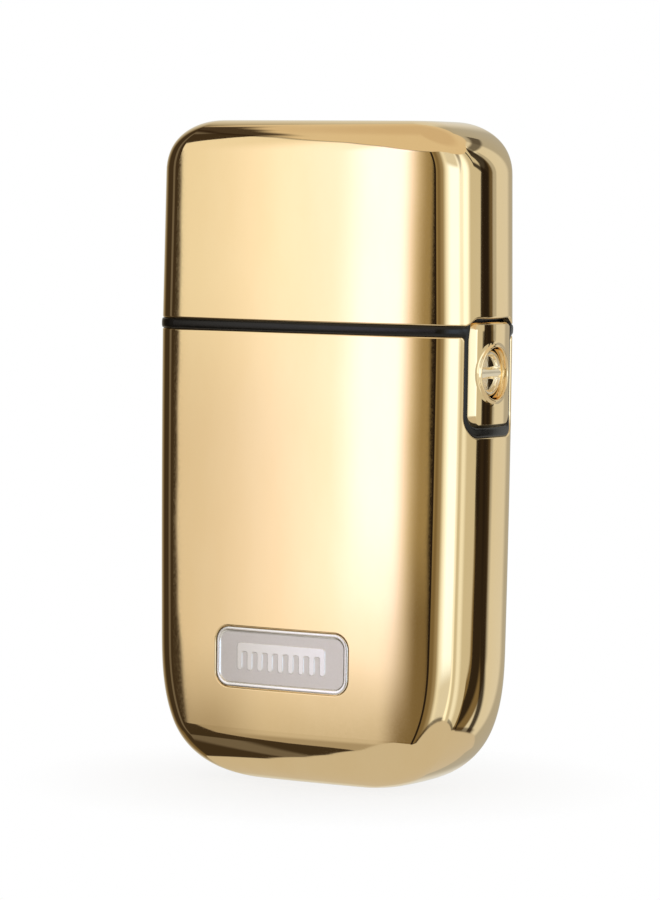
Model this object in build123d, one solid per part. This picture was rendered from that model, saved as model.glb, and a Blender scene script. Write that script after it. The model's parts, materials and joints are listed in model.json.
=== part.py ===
"""Pocket foil shaver: a slim mirror-plated body with a pull-off cap, a side power button and a twin-foil head.

Frame: origin at the centre of the base, +Z up towards the foils, -Y is the front with the nameplate,
+X is the side with the power button. Lengths are millimetres.
"""
from build123d import *
import math
import os

# ---- overall shape --------------------------------------------------------------------------------
WIDTH, DEPTH, HEIGHT = 60.0, 24.0, 108.5
HALF_W, HALF_D = WIDTH / 2, DEPTH / 2
CORNER_R = 5.5            # vertical corners of the plan section
FRONT_R = 200.0           # crown of the front and rear faces
SIDE_R = 35.0             # crown of the two sides
CAP_DRAFT = 0.6           # the cap is this much narrower per side at its top
BODY_DRAFT = 0.95         # and the body at its base
TOP_CORNER_X, TOP_CORNER_Z = 9.7, 8.3
TOP_ROUND = 5.0           # rounding of the top, seen from the side
BASE_CORNER_X, BASE_CORNER_Z, BASE_POWER = 21.8, 23.4, 2.74
BASE_ROUND_Y, BASE_ROUND_Z = 8.0, 9.0

# ---- parting line, trim and walls -----------------------------------------------------------------
PARTING_Z = 75.0
TRIM = 1.6                # thickness of the black trim band
TRIM_PROUD = 0.3
TRIM_LOW, TRIM_TOP = PARTING_Z - TRIM / 2, PARTING_Z + TRIM / 2
BODY_WALL, CAP_WALL = 1.4, 1.2
TRIM_INSET = 2.0          # how far the trim and the switch panel reach in from the surface
GAP = 0.05                # assembly gap between seated pieces

# ---- switch panel and power button ----------------------------------------------------------------
PANEL_HALF_Y, PANEL_LOW, PANEL_TOP, PANEL_CORNER = 6.35, 59.6, 76.45, 1.9
BUTTON_Z, BUTTON_R = 68.2, 3.8
BEZEL_BASE_R, BEZEL_CREST_R, BEZEL_BORE_R = 5.2, 4.35, 3.9
CAP_NOTCH_HALF_Y, CAP_NOTCH_TOP = 7.1, 77.0

# ---- nameplate ------------------------------------------------------------------------------------
PLATE_X, PLATE_Z, PLATE_W, PLATE_H, PLATE_CORNER = -2.6, 20.7, 25.6, 10.1, 2.6
PLATE_DEEP, PLATE_RIM = 0.7, 0.75

# ---- head -----------------------------------------------------------------------------------------
COLLAR_INSET, COLLAR_TOP, COLLAR_WALL = 1.5, 84.0, 1.6
FLOOR_LOW, FLOOR_TOP = 72.0, 73.5
CASSETTE_W, CASSETTE_D, CASSETTE_R, CASSETTE_TOP = 25.2, 10.1, 4.5, 97.4
FOIL_Y, FOIL_R, FOIL_T, FOIL_HALF_X = 4.3, 3.6, 0.15, 20.0
FOIL_AXIS_Z, FOIL_LEG_LOW = 97.4, 91.9
FOIL_END = 1.3            # thickness of the plastic end walls of a foil
LEDGE_Z = 92.0
STROKE = 1.0              # the cutters run this far each side of the middle
BLADE_R, BLADE_T, BLADE_PITCH, BLADE_HALF_COUNT = 3.35, 0.35, 1.24, 14
CARRIER_LOW, CARRIER_TOP, RAIL_TOP = 86.6, 90.6, 92.4
BRIDGE_LOW, BRIDGE_TOP = 77.0, 80.2
ROD_Y, ROD_Z, ROD_R = 6.4, 78.6, 0.8
POST_R, POST_TOP = 1.2, 90.0
CAM_PIN_R, YOKE_SLACK = 0.75, 0.25
RELEASE_Z = 80.2

# ---- inside the body ------------------------------------------------------------------------------
MOTOR_R, MOTOR_FLAT, MOTOR_LOW, MOTOR_BELL, MOTOR_TOP = 10.2, 7.7, 36.5, 40.0, 64.0
SHAFT_R = 1.0
CELL_X, CELL_R, CELL_LOW, CELL_TOP = -17.8, 7.0, 12.0, 62.0
BOARD_FRONT, BOARD_T = 1.6, 1.2
PLATE_IN, PLATE_OUT = 8.0, 9.2          # the chassis plates, measured from the middle plane
SHELF_LOW, SHELF_TOP = 64.0, 65.8
CHASSIS_LOW = 11.0
CHASSIS_SCREWS = [(-6.5, 14.5), (-6.5, 31.0), (19.5, 14.5), (19.5, 53.0)]
DECK_SCREWS = [(x, y) for x in (-13.2, 13.2) for y in (-5.2, 5.2)]
USB_W, USB_T, USB_LONG, USB_LOW = 8.94, 3.2, 7.3, 1.6
LIGHT_X, LIGHT_R = 6.2, 0.8


# ---- small builders -------------------------------------------------------------------------------
def block(x0, x1, y0, y1, z0, z1):
    """A box between two corners."""
    return Pos((x0 + x1) / 2, (y0 + y1) / 2, (z0 + z1) / 2) * Box(x1 - x0, y1 - y0, z1 - z0)


def rod_z(x, y, z0, z1, r):
    return Pos(x, y, (z0 + z1) / 2) * Cylinder(r, z1 - z0)


def rod_x(y, z, x0, x1, r):
    return Pos((x0 + x1) / 2, y, z) * Rot(0, 90, 0) * Cylinder(r, x1 - x0)


def rod_y(x, z, y0, y1, r):
    return Pos(x, (y0 + y1) / 2, z) * Rot(90, 0, 0) * Cylinder(r, y1 - y0)


def side_prism(half_y, z0, z1, corner, x0=20.0, x1=40.0):
    """A rounded rectangle in the YZ plane, run along X."""
    outline = Pos(0, (z0 + z1) / 2) * RectangleRounded(2 * half_y, z1 - z0, corner)
    return extrude(Plane.YZ.offset(x0) * outline, x1 - x0)


def front_prism(x, z, w, h, corner, y0=-20.0, y1=-5.0):
    """A rounded rectangle in the XZ plane, run along Y."""
    outline = Pos(x, z) * RectangleRounded(w, h, corner)
    return extrude(Plane.XZ.offset(-y1) * outline, y1 - y0)


def section(half_w, half_d, corner_r, z):
    """The crowned rounded rectangle: four crown arcs joined by four corner arcs, all tangent."""
    front_c, side_c = (0.0, FRONT_R - half_d), (half_w - SIDE_R, 0.0)
    a, b = FRONT_R - corner_r, SIDE_R - corner_r
    dx, dy = side_c[0] - front_c[0], side_c[1] - front_c[1]
    apart = math.hypot(dx, dy)
    along = (apart**2 + a**2 - b**2) / (2 * apart)
    off = math.sqrt(max(a**2 - along**2, 0.0))
    ux, uy = dx / apart, dy / apart
    centres = [(front_c[0] + ux * along + s * uy * off, front_c[1] + uy * along - s * ux * off) for s in (1, -1)]
    cx, cy = max((c for c in centres if c[1] < 0), key=lambda c: c[0])
    turn_f = math.atan2(cx - front_c[0], front_c[1] - cy)
    turn_s = math.atan2(cx - side_c[0], side_c[1] - cy)

    def on_corner(turn):
        return cx + corner_r * math.sin(turn), cy - corner_r * math.cos(turn)

    xf, yf = on_corner(turn_f)
    xm, ym = on_corner((turn_f + turn_s) / 2)
    xs, ys = on_corner(turn_s)
    ring = [(-xf, yf), (0, -half_d), (xf, yf), (xm, ym), (xs, ys), (half_w, 0), (xs, -ys), (xm, -ym), (xf, -yf),
            (0, half_d), (-xf, -yf), (-xm, -ym), (-xs, -ys), (-half_w, 0), (-xs, ys), (-xm, ym), (-xf, yf)]
    arcs = [ThreePointArc((*ring[i], z), (*ring[i + 1], z), (*ring[i + 2], z)) for i in range(0, 16, 2)]
    return make_face(arcs)


def level(z):
    """Half width and half depth of the outer surface at height z."""
    up = max(0.0, z - PARTING_Z) / (HEIGHT - PARTING_Z)
    down = max(0.0, PARTING_Z - z) / PARTING_Z
    half_w = HALF_W - CAP_DRAFT * up - BODY_DRAFT * down**2
    half_d = HALF_D
    corner = max(0.0, (z - HEIGHT + TOP_CORNER_Z) / TOP_CORNER_Z)
    half_w -= TOP_CORNER_X * (1 - math.sqrt(max(0.0, 1 - corner**2)))
    edge = max(0.0, (z - HEIGHT + TOP_ROUND) / TOP_ROUND)
    half_d -= TOP_ROUND * (1 - math.sqrt(max(0.0, 1 - edge**2)))
    foot = max(0.0, (BASE_CORNER_Z - z) / BASE_CORNER_Z)
    half_w -= BASE_CORNER_X * (1 - max(0.0, 1 - foot**BASE_POWER) ** (1 / BASE_POWER))
    toe = max(0.0, (BASE_ROUND_Z - z) / BASE_ROUND_Z)
    half_d -= BASE_ROUND_Y * (1 - math.sqrt(max(0.0, 1 - toe**2)))
    return half_w, half_d


def eased(edge_z, far_z, count=7):
    """Heights from a rounded edge to where the rounding starts, closer together near the edge."""
    steps = [math.sin(math.radians(90 * i / (count - 1))) for i in range(count)]
    return [edge_z + (far_z - edge_z) * (1 - step) for step in reversed(steps)]


def stack(levels, inset):
    """A smooth loft through the sections at these heights, moved in by inset all round."""
    faces = []
    for z in levels:
        half_w, half_d = level(z)
        inner_z = inset + z * (HEIGHT - 2 * inset) / HEIGHT
        faces.append(section(half_w - inset, half_d - inset, CORNER_R * (half_d - inset) / HALF_D, inner_z))
    return loft(faces)


def lower_form(inset):
    """The body's outer form up to the parting line."""
    toe = stack(eased(0.0, BASE_ROUND_Z), inset)
    knee = stack([BASE_ROUND_Z + i * (BASE_CORNER_Z - BASE_ROUND_Z) / 4 for i in range(5)], inset)
    flank = stack([BASE_CORNER_Z, (BASE_CORNER_Z + PARTING_Z) / 2, PARTING_Z], inset)
    return toe + knee + flank


def upper_form(inset):
    """The cap's outer form down to the parting line."""
    flank = stack([PARTING_Z, HEIGHT - TOP_CORNER_Z], inset)
    shoulder = stack([HEIGHT - TOP_CORNER_Z, HEIGHT - (TOP_CORNER_Z + TOP_ROUND) / 2, HEIGHT - TOP_ROUND], inset)
    crown = stack(eased(HEIGHT, HEIGHT - TOP_ROUND), inset)
    return flank + shoulder + crown


def ring_prism(half_w, half_d, z0, z1, corner_r=CORNER_R):
    """A straight prism of the crowned section."""
    return extrude(section(half_w, half_d, corner_r, z0), z1 - z0, dir=(0, 0, 1))


def collar_prism(inset, z0, z1):
    return ring_prism(HALF_W - inset, HALF_D - inset, z0, z1, CORNER_R - inset / 2)


def coil(radius, wire, length, turns):
    """A helical spring standing on z = 0, with its ends inside its length."""
    path = Helix(pitch=(length - wire) / turns, height=length - wire, radius=radius)
    spot = Plane(origin=path @ 0, z_dir=path % 0) * Circle(wire / 2)
    return Pos(0, 0, wire / 2) * sweep(spot, path=path, is_frenet=True)


def write(name, shape):
    export_step(shape, f"parts/{name}.step")


# ---- outer casing ---------------------------------------------------------------------------------
def front_layer(z0, z1, outer, inner):
    """The layer of the crowned front between two depths below its surface."""
    centre = FRONT_R - HALF_D
    return rod_z(0, centre, z0, z1, FRONT_R - outer) - rod_z(0, centre, z0, z1, FRONT_R - inner)


def side_layer(z0, z1, outer, inner):
    """The layer of the whole crowned side wall between two depths below its surface."""
    outside = ring_prism(HALF_W - outer, HALF_D - outer, z0, z1, CORNER_R - outer / 2)
    return outside - ring_prism(HALF_W - inner, HALF_D - inner, z0, z1, CORNER_R - inner / 2)


def body_shell():
    """One deep plated can, open at the top, with the switch notch, nameplate recess, socket and light holes."""
    shell = (lower_form(0.0) & block(-50, 50, -50, 50, -5, TRIM_LOW)) - lower_form(BODY_WALL)
    shell -= block(-26, 26, -8, 8, PARTING_Z - 5, PARTING_Z + 5)
    shell -= side_prism(PANEL_HALF_Y + TRIM, PANEL_LOW - TRIM, HEIGHT, PANEL_CORNER + TRIM)
    recess = front_prism(PLATE_X, PLATE_Z, PLATE_W, PLATE_H, PLATE_CORNER, -14, -8)
    shell -= recess & front_layer(5, 35, -1, PLATE_DEEP)
    socket = extrude(Plane.XY.offset(-1) * RectangleRounded(USB_W + 0.5, USB_T + 0.5, USB_T / 2), 4)
    return shell - socket - rod_z(LIGHT_X, 0, -1, 3, LIGHT_R + GAP)


def cap():
    """The plated cover over the foil head, notched over the switch panel."""
    cover = (upper_form(0.0) & block(-50, 50, -50, 50, TRIM_TOP, HEIGHT + 5)) - upper_form(CAP_WALL)
    return cover - side_prism(CAP_NOTCH_HALF_Y, PARTING_Z - 5, CAP_NOTCH_TOP, 0.9)


def trim_band():
    """The black seal between cap and body, which dips round the switch panel."""
    belt = side_layer(TRIM_LOW, TRIM_TOP, -TRIM_PROUD, TRIM_INSET)
    loop = side_layer(PANEL_LOW - TRIM, TRIM_TOP, -TRIM_PROUD, TRIM_INSET)
    loop &= side_prism(PANEL_HALF_Y + TRIM, PANEL_LOW - TRIM, HEIGHT, PANEL_CORNER + TRIM)
    return belt + loop - side_prism(PANEL_HALF_Y + GAP, PANEL_LOW - GAP, HEIGHT, PANEL_CORNER)


def switch_panel():
    """The plated tab in the body's notch, with a raised bezel round the power button."""
    tab = side_layer(PANEL_LOW, PANEL_TOP, 0.0, TRIM_INSET)
    tab &= side_prism(PANEL_HALF_Y, PANEL_LOW, PANEL_TOP, PANEL_CORNER)
    crest_x = HALF_W + TRIM_PROUD
    bezel = Pos(crest_x - 0.5, 0, BUTTON_Z) * Rot(0, 90, 0) * Cone(BEZEL_BASE_R, BEZEL_CREST_R, 1.0)
    return tab + bezel - rod_x(0, BUTTON_Z, 20, 40, BEZEL_BORE_R)


def power_button():
    """A round push button with a thumb bar between two hollows, and a flange behind the panel."""
    face_x, flange_x = HALF_W - 0.35, 27.3
    button = rod_x(0, BUTTON_Z, flange_x, face_x, BUTTON_R)
    hollow = rod_x(0, BUTTON_Z, face_x - 0.6, face_x + 1, BUTTON_R - 0.6)
    hollow -= block(20, 40, -6, 6, BUTTON_Z - 0.75, BUTTON_Z + 0.75)
    return button - hollow + rod_x(0, BUTTON_Z, flange_x - 0.5, flange_x, BUTTON_R + 0.7)


def nameplate():
    """A silver plate set in the front, with a raised rim and a generic comb emblem."""
    z0, z1 = PLATE_Z - PLATE_H, PLATE_Z + PLATE_H
    outline = front_prism(PLATE_X, PLATE_Z, PLATE_W - 2 * GAP, PLATE_H - 2 * GAP, PLATE_CORNER - GAP)
    field_w, field_h = PLATE_W - 2 * PLATE_RIM, PLATE_H - 2 * PLATE_RIM
    field = front_prism(PLATE_X, PLATE_Z, field_w, field_h, PLATE_CORNER - PLATE_RIM)
    raised = front_layer(z0, z1, 0.08, 0.35)
    emblem = front_prism(PLATE_X, PLATE_Z + 1.7, 17.0, 1.5, 0.6)
    for i in range(9):
        emblem += front_prism(PLATE_X - 8.0 + 2.0 * i, PLATE_Z - 0.4, 1.0, 3.4, 0.45)
    base = outline & front_layer(z0, z1, 0.3, PLATE_DEEP)
    return base + ((outline - field) & raised) + (emblem & raised)


# ---- head base and its release buttons -----------------------------------------------------------
def release_way(side):
    """The room a release button needs through the collar's wall."""
    return block(*sorted((side * 24.5, side * 29.5)), -3.9, 3.9, RELEASE_Z - 1.9, RELEASE_Z + 1.9)


def head_base():
    """The black collar that closes the body, holds the trim and carries the foil cassette."""
    upper = collar_prism(COLLAR_INSET, TRIM_TOP, COLLAR_TOP)
    waist = ring_prism(27.6, 9.9, FLOOR_LOW, TRIM_TOP, 4.2)
    cavity = ring_prism(27.6 - COLLAR_WALL, 9.9 - COLLAR_WALL, FLOOR_TOP, COLLAR_TOP - 1.5, 3.4)
    base = upper + waist - cavity
    base -= block(-18, 18, -7.4, 7.4, COLLAR_TOP - 2, COLLAR_TOP + 1)
    base -= side_prism(PANEL_HALF_Y + 0.25, 50, PANEL_TOP + 0.25, 0.5, 27.2, 35)
    base -= rod_x(0, BUTTON_Z, 26.0, 29.0, 5.0)
    for side in (-1, 1):
        base -= block(*sorted((side * 21.8, side * 23.4)), -2.7, 2.7, COLLAR_TOP - 2, COLLAR_TOP + 1)
        base -= release_way(side)
        base += block(*sorted((side * 16.2, side * 17.4)), -8.4, 8.4, FLOOR_TOP, COLLAR_TOP - 1.5)
        base -= block(*sorted((side * 16.0, side * 17.6)), -5.0, 5.0, FLOOR_TOP + 1.5, COLLAR_TOP)
        for front in (-1, 1):
            base -= rod_x(front * ROD_Y, ROD_Z, *sorted((side * 15, side * 18)), ROD_R)
            base += rod_z(side * 15, front * 9.79, TRIM_TOP + 1, COLLAR_TOP - 1, 0.4)
    base += [block(*sorted((s * 15.6, s * 16.8)), -2.2, 2.2, FLOOR_TOP, COLLAR_TOP - 1.5) for s in (-1, 1)]
    base -= rod_z(0, 0, FLOOR_LOW - 1, FLOOR_TOP + 1, 2.6)
    for x, y in DECK_SCREWS:
        base -= rod_z(x, y, FLOOR_LOW - 1, FLOOR_TOP + 1, 1.1)
    return base


def shaft_seal():
    """A rubber ring in the deck that keeps hair out of the body."""
    bore = rod_z(0, 0, FLOOR_LOW - 1, FLOOR_TOP + 1, SHAFT_R + 0.06)
    return rod_z(0, 0, FLOOR_LOW, FLOOR_TOP, 2.6) - bore


def release_button(side):
    """A side key whose fork reaches round the cassette's foot and hooks it from the inside."""
    z0, z1 = RELEASE_Z - 0.8, RELEASE_Z + 0.8
    pad = block(26.6, 28.2, -3.5, 3.5, RELEASE_Z - 1.6, RELEASE_Z + 1.6)
    arms = block(20.4, 26.8, 2.9, 3.5, z0, z1) + block(20.4, 26.8, -3.5, -2.9, z0, z1)
    bar = block(20.4, 21.3, -3.5, 3.5, z0, z1)
    nose = block(21.2, 22.5, -1.2, 1.2, z0 + 0.2, z1 - 0.2)
    key = pad + arms + bar + nose
    return key if side > 0 else mirror(key, Plane.YZ)


def release_spring(side):
    """The small coil that pushes a release button out."""
    spring = Pos(17.0, 0, RELEASE_Z) * Rot(0, 90, 0) * coil(0.9, 0.3, 3.35, 4)
    return spring if side > 0 else mirror(spring, Plane.YZ)


# ---- foil cassette --------------------------------------------------------------------------------
def cassette_frame():
    """The frame that holds both foils, with a ledge above them and two hooked feet."""
    frame = ring_prism(CASSETTE_W, CASSETTE_D, COLLAR_TOP, CASSETTE_TOP, CASSETTE_R)
    top_rim = frame.faces().sort_by(Axis.Z)[-1].edges()
    frame = fillet(top_rim, 0.6)
    frame -= block(-21.5, 21.5, -8.3, 8.3, COLLAR_TOP - 1, LEDGE_Z)
    for front in (-1, 1):
        y0, y1 = sorted((front * (FOIL_Y - FOIL_R - 0.1), front * (FOIL_Y + FOIL_R + 0.1)))
        frame -= block(-21.4, 21.4, y0, y1, LEDGE_Z - 1, CASSETTE_TOP + 1)
    for side in (-1, 1):
        foot = block(*sorted((side * 22.0, side * 23.2)), -2.5, 2.5, 77.5, COLLAR_TOP + 0.5)
        window = block(*sorted((side * 21, side * 24)), -1.5, 1.5, RELEASE_Z - 0.9, RELEASE_Z + 0.9)
        frame += foot - window
    return frame


def arch(radius, low):
    """The foil's outline: a half circle on two straight legs, in the YZ plane about the foil's axis."""
    legs = Pos(0, (low - FOIL_AXIS_Z) / 2) * Rectangle(2 * radius, FOIL_AXIS_Z - low)
    return legs + Circle(radius)


def run_x(outline, x0, x1, y):
    """Runs an outline about a foil's axis along X."""
    return extrude(Plane.YZ.offset(x0) * Pos(y, FOIL_AXIS_Z) * outline, x1 - x0)


def foil(front):
    """The thin arched shaving foil."""
    sheet = arch(FOIL_R, FOIL_LEG_LOW) - arch(FOIL_R - FOIL_T, FOIL_LEG_LOW - 5)
    return run_x(sheet, -FOIL_HALF_X, FOIL_HALF_X, front * FOIL_Y)


def foil_frame(front):
    """The floating plastic frame of one foil: a base ring and two arched end walls."""
    y, end = front * FOIL_Y, FOIL_HALF_X + FOIL_END
    ring = block(-end, end, y - 3.8, y + 3.8, FOIL_LEG_LOW - 1.5, FOIL_LEG_LOW)
    ring -= block(-19.9, 19.9, y - 2.75, y + 2.75, 80, 95)
    profile = arch(FOIL_R, FOIL_LEG_LOW - 0.5)
    return ring + run_x(profile, -end, -FOIL_HALF_X, y) + run_x(profile, FOIL_HALF_X, end, y)


# ---- cutters and their drive ----------------------------------------------------------------------
def cutter_blades(front):
    """One steel cutter: a rail with arched blades under the foil."""
    y, end = front * FOIL_Y, BLADE_PITCH * BLADE_HALF_COUNT + 1.0
    rail = block(-end, end, y - 1.6, y + 1.6, CARRIER_TOP, RAIL_TOP)
    middle = [BLADE_PITCH * i for i in range(-BLADE_HALF_COUNT, BLADE_HALF_COUNT + 1)]
    shape = arch(BLADE_R, RAIL_TOP - 0.2) - Circle(BLADE_R - 1.5) - Rectangle(2.6, 4)
    blades = [run_x(shape, x - BLADE_T / 2, x + BLADE_T / 2, y) for x in middle]
    return rail + blades - rod_z(0, y, CARRIER_TOP - 1, RAIL_TOP - 0.4, POST_R + 0.1)


def cutter_carrier(front):
    """The plastic block that carries a cutter on its drive post."""
    y = front * FOIL_Y
    carrier = block(-17.5, 17.5, y - 2.5, y + 2.5, CARRIER_LOW + 1.4, CARRIER_TOP)
    carrier += rod_z(0, y, CARRIER_LOW, CARRIER_TOP, 2.4)
    return carrier - rod_z(0, y, CARRIER_LOW - 1, CARRIER_TOP + 1, POST_R + 0.06)


def cutter_spring(front):
    return Pos(0, front * FOIL_Y, BRIDGE_TOP) * coil(1.8, 0.4, CARRIER_LOW - BRIDGE_TOP, 5)


def oscillating_bridge():
    """The slide that the cam pin drives from side to side; its posts carry the two cutters."""
    bridge = block(-14.0, 14.0, -7.6, 7.6, BRIDGE_LOW, BRIDGE_TOP)
    slot = CAM_PIN_R + YOKE_SLACK
    bridge -= block(-slot, slot, -STROKE - slot, STROKE + slot, BRIDGE_LOW - 1, BRIDGE_TOP + 1)
    for x in (-8.5, 8.5):
        bridge -= block(x - 3.2, x + 3.2, -4.2, 4.2, BRIDGE_LOW - 1, BRIDGE_TOP + 1)
    for front in (-1, 1):
        bridge -= rod_x(front * ROD_Y, ROD_Z, -20, 20, ROD_R + 0.06)
        bridge += rod_z(0, front * FOIL_Y, BRIDGE_TOP - 0.5, POST_TOP, POST_R)
    return bridge


def guide_rod(front):
    return rod_x(front * ROD_Y, ROD_Z, -17.4, 17.4, ROD_R)


def cam():
    """The eccentric on the motor shaft: a disc with a pin one stroke off its axis."""
    disc = rod_z(0, 0, FLOOR_TOP + 0.5, BRIDGE_LOW - 1, 3.0)
    pin = rod_z(0, -STROKE, BRIDGE_LOW - 1.2, BRIDGE_TOP - 0.6, CAM_PIN_R)
    return disc + pin - rod_z(0, 0, FLOOR_TOP, FLOOR_TOP + 2.0, SHAFT_R)


# ---- motor ----------------------------------------------------------------------------------------
def motor_outline(r, flat, z0, z1):
    """A round can with two flats."""
    return rod_z(0, 0, z0, z1, r) & block(-r, r, -flat, flat, z0, z1)


def motor_can():
    can = motor_outline(MOTOR_R, MOTOR_FLAT, MOTOR_BELL, MOTOR_TOP)
    can -= motor_outline(MOTOR_R - 0.8, MOTOR_FLAT - 0.8, MOTOR_BELL - 1, MOTOR_TOP - 0.8)
    can += rod_z(0, 0, MOTOR_TOP - 0.8, MOTOR_TOP + 1.4, 3.0)
    can -= [rod_z(s * 5, 0, MOTOR_TOP - 2, MOTOR_TOP + 1, 0.9) for s in (-1, 1)]
    return can - rod_z(0, 0, MOTOR_TOP - 2, MOTOR_TOP + 2, 2.0)


def motor_end_bell():
    """The moulded end of the motor with its lower bush seat."""
    bell = motor_outline(MOTOR_R, MOTOR_FLAT, MOTOR_LOW, MOTOR_BELL)
    bell -= motor_outline(MOTOR_R - 1.5, MOTOR_FLAT - 1.5, MOTOR_LOW + 1.5, MOTOR_BELL + 1)
    bell -= [block(s * 5.2 - 0.7, s * 5.2 + 0.7, -0.3, 0.3, MOTOR_LOW - 1, MOTOR_LOW + 2) for s in (-1, 1)]
    return bell - rod_z(0, 0, MOTOR_LOW - 1, MOTOR_LOW + 2, 2.0)


def motor_bushes():
    upper = rod_z(0, 0, MOTOR_TOP - 0.8, MOTOR_TOP + 1.4, 2.0)
    lower = rod_z(0, 0, MOTOR_LOW, MOTOR_LOW + 1.5, 2.0)
    return (upper + lower) - rod_z(0, 0, MOTOR_LOW - 1, MOTOR_TOP + 2, SHAFT_R + 0.03)


def motor_magnets():
    """Two arc magnets inside the can."""
    ring = motor_outline(MOTOR_R - 0.85, MOTOR_FLAT - 0.85, 43.0, 60.0) - rod_z(0, 0, 40, 62, 6.6)
    return ring - block(-4.5, 4.5, -12, 12, 40, 62)


def motor_armature():
    """Three wound poles and the commutator on the shaft."""
    core = rod_z(0, 0, 45.0, 58.0, 6.1)
    for i in range(3):
        core -= Rot(0, 0, 60 + 120 * i) * block(3.4, 8.0, -0.6, 0.6, 44, 59)
    commutator = rod_z(0, 0, 40.6, 44.0, 2.0)
    return core + rod_z(0, 0, 44.0, 45.0, 3.2) + commutator - rod_z(0, 0, 40, 60, SHAFT_R)


def motor_shaft():
    return rod_z(0, 0, MOTOR_LOW + 0.1, FLOOR_TOP + 2.0, SHAFT_R)


def motor_terminals():
    z0, z1 = MOTOR_LOW - 2.0, MOTOR_LOW + 3.0
    return [block(x - 0.6, x + 0.6, -0.2, 0.2, z0, z1) for x in (-5.2, 5.2)]


def motor_screws():
    """Two screws that hold the motor to the chassis shelf."""
    shanks = [rod_z(s * 5, 0, MOTOR_TOP - 2.2, SHELF_TOP, 0.85) for s in (-1, 1)]
    heads = [rod_z(s * 5, 0, SHELF_TOP, SHELF_TOP + 1.0, 1.7) for s in (-1, 1)]
    return [shank + head for shank, head in zip(shanks, heads)]


# ---- chassis --------------------------------------------------------------------------------------
def chassis_rear():
    """The rear tray: back plate, battery shelf, motor shelf and the posts under the head base."""
    tray = block(-21, 21, PLATE_IN, PLATE_OUT, CHASSIS_LOW, SHELF_TOP)
    tray += block(-20.5, 20.5, -PLATE_IN, PLATE_IN, SHELF_LOW, SHELF_TOP)
    tray -= rod_z(0, 0, SHELF_LOW - 1, SHELF_TOP + 1, 3.1)
    tray -= [rod_z(s * 5, 0, SHELF_LOW - 1, SHELF_TOP + 1, 0.95) for s in (-1, 1)]
    tray += block(-23.0, -11.2, -6.0, PLATE_IN + 0.5, CELL_LOW - 1.6, CELL_LOW - 0.3)
    for x, y in DECK_SCREWS:
        tray += rod_z(x, y, SHELF_TOP - 0.5, FLOOR_LOW, 2.2)
        tray -= rod_z(x, y, SHELF_TOP + 1.0, FLOOR_LOW + 1, 0.85)
    for x, z in CHASSIS_SCREWS:
        tray += rod_y(x, z, BOARD_FRONT + BOARD_T, PLATE_IN + 0.5, 2.2)
        tray -= rod_y(x, z, BOARD_FRONT, PLATE_IN, 0.85)
    return tray


def chassis_front():
    """The front clamp plate, screwed to the rear tray through the circuit board."""
    clamp = block(-21, 21, -PLATE_OUT, -PLATE_IN - 0.02, CHASSIS_LOW, SHELF_TOP)
    clamp -= block(-15, 15, -PLATE_OUT - 1, -PLATE_IN + 1, 40.0, 60.0)
    for x, z in CHASSIS_SCREWS:
        clamp += rod_y(x, z, -PLATE_IN - 0.5, BOARD_FRONT, 2.2)
        clamp -= rod_y(x, z, -PLATE_OUT - 1, BOARD_FRONT + 1, 1.0)
        clamp -= rod_y(x, z, -PLATE_OUT - 1, -PLATE_OUT + 0.8, 1.9)
    return clamp


def chassis_screws():
    heads = [rod_y(x, z, -PLATE_OUT, -PLATE_OUT + 0.8, 1.8) for x, z in CHASSIS_SCREWS]
    shanks = [rod_y(x, z, -PLATE_OUT + 0.8, 6.5, 0.8) for x, z in CHASSIS_SCREWS]
    return [head + shank for head, shank in zip(heads, shanks)]


def deck_screws():
    heads = [rod_z(x, y, FLOOR_TOP, FLOOR_TOP + 1.0, 1.7) for x, y in DECK_SCREWS]
    shanks = [rod_z(x, y, SHELF_TOP + 1.4, FLOOR_TOP, 0.8) for x, y in DECK_SCREWS]
    return [head + shank for head, shank in zip(heads, shanks)]


# ---- electrics ------------------------------------------------------------------------------------
def battery_cell():
    cell = rod_z(CELL_X, 0, CELL_LOW, CELL_TOP - 0.6, CELL_R)
    return cell + rod_z(CELL_X, 0, CELL_TOP - 0.6, CELL_TOP, 2.6)


def battery_tabs():
    """Welded nickel strips at the two ends of the cell."""
    upper = block(CELL_X - 2, CELL_X + 5.5, -2, 2, CELL_TOP, CELL_TOP + 0.2)
    lower = block(CELL_X - 2, CELL_X + 8.2, -2, 2, CELL_LOW - 0.2, CELL_LOW)
    return [upper, lower]


def main_board():
    """The L-shaped circuit board, drilled for the chassis screws."""
    y0, y1 = BOARD_FRONT, BOARD_FRONT + BOARD_T
    board = block(-8, 8, y0, y1, 3.0, 9.5) + block(-9.5, 23.5, y0, y1, 9.0, 34.0)
    board += block(12, 23.5, y0, y1, 33.5, 57.0)
    return board - [rod_y(x, z, y0 - 1, y1 + 1, 1.0) for x, z in CHASSIS_SCREWS]


def board_chips():
    """The controller, the charger, the choke and the capacitor."""
    y = BOARD_FRONT
    chips = [block(13.0, 18.0, y - 1.0, y, 21.0, 26.0), block(-1.5, 2.0, y - 0.9, y, 14.0, 17.5)]
    chips += [block(14.5, 18.5, y - 2.0, y, 40.0, 44.0), rod_y(8.5, 20.0, y - 5.0, y, 2.0)]
    return chips


def usb_socket():
    outline = RectangleRounded(USB_W, USB_T, USB_T / 2 - 0.01)
    shell = extrude(Plane.XY.offset(USB_LOW) * outline, USB_LONG)
    hollow = RectangleRounded(USB_W - 0.6, USB_T - 0.6, USB_T / 2 - 0.31)
    return shell - extrude(Plane.XY.offset(USB_LOW - 1) * hollow, USB_LONG)


def usb_tongue():
    return block(-3.3, 3.3, -0.35, 0.35, USB_LOW + 0.8, USB_LOW + USB_LONG - 1.0)


def charge_led():
    return block(LIGHT_X - 1.0, LIGHT_X + 1.0, BOARD_FRONT - 1.6, BOARD_FRONT, 9.6, 10.8)


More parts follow.
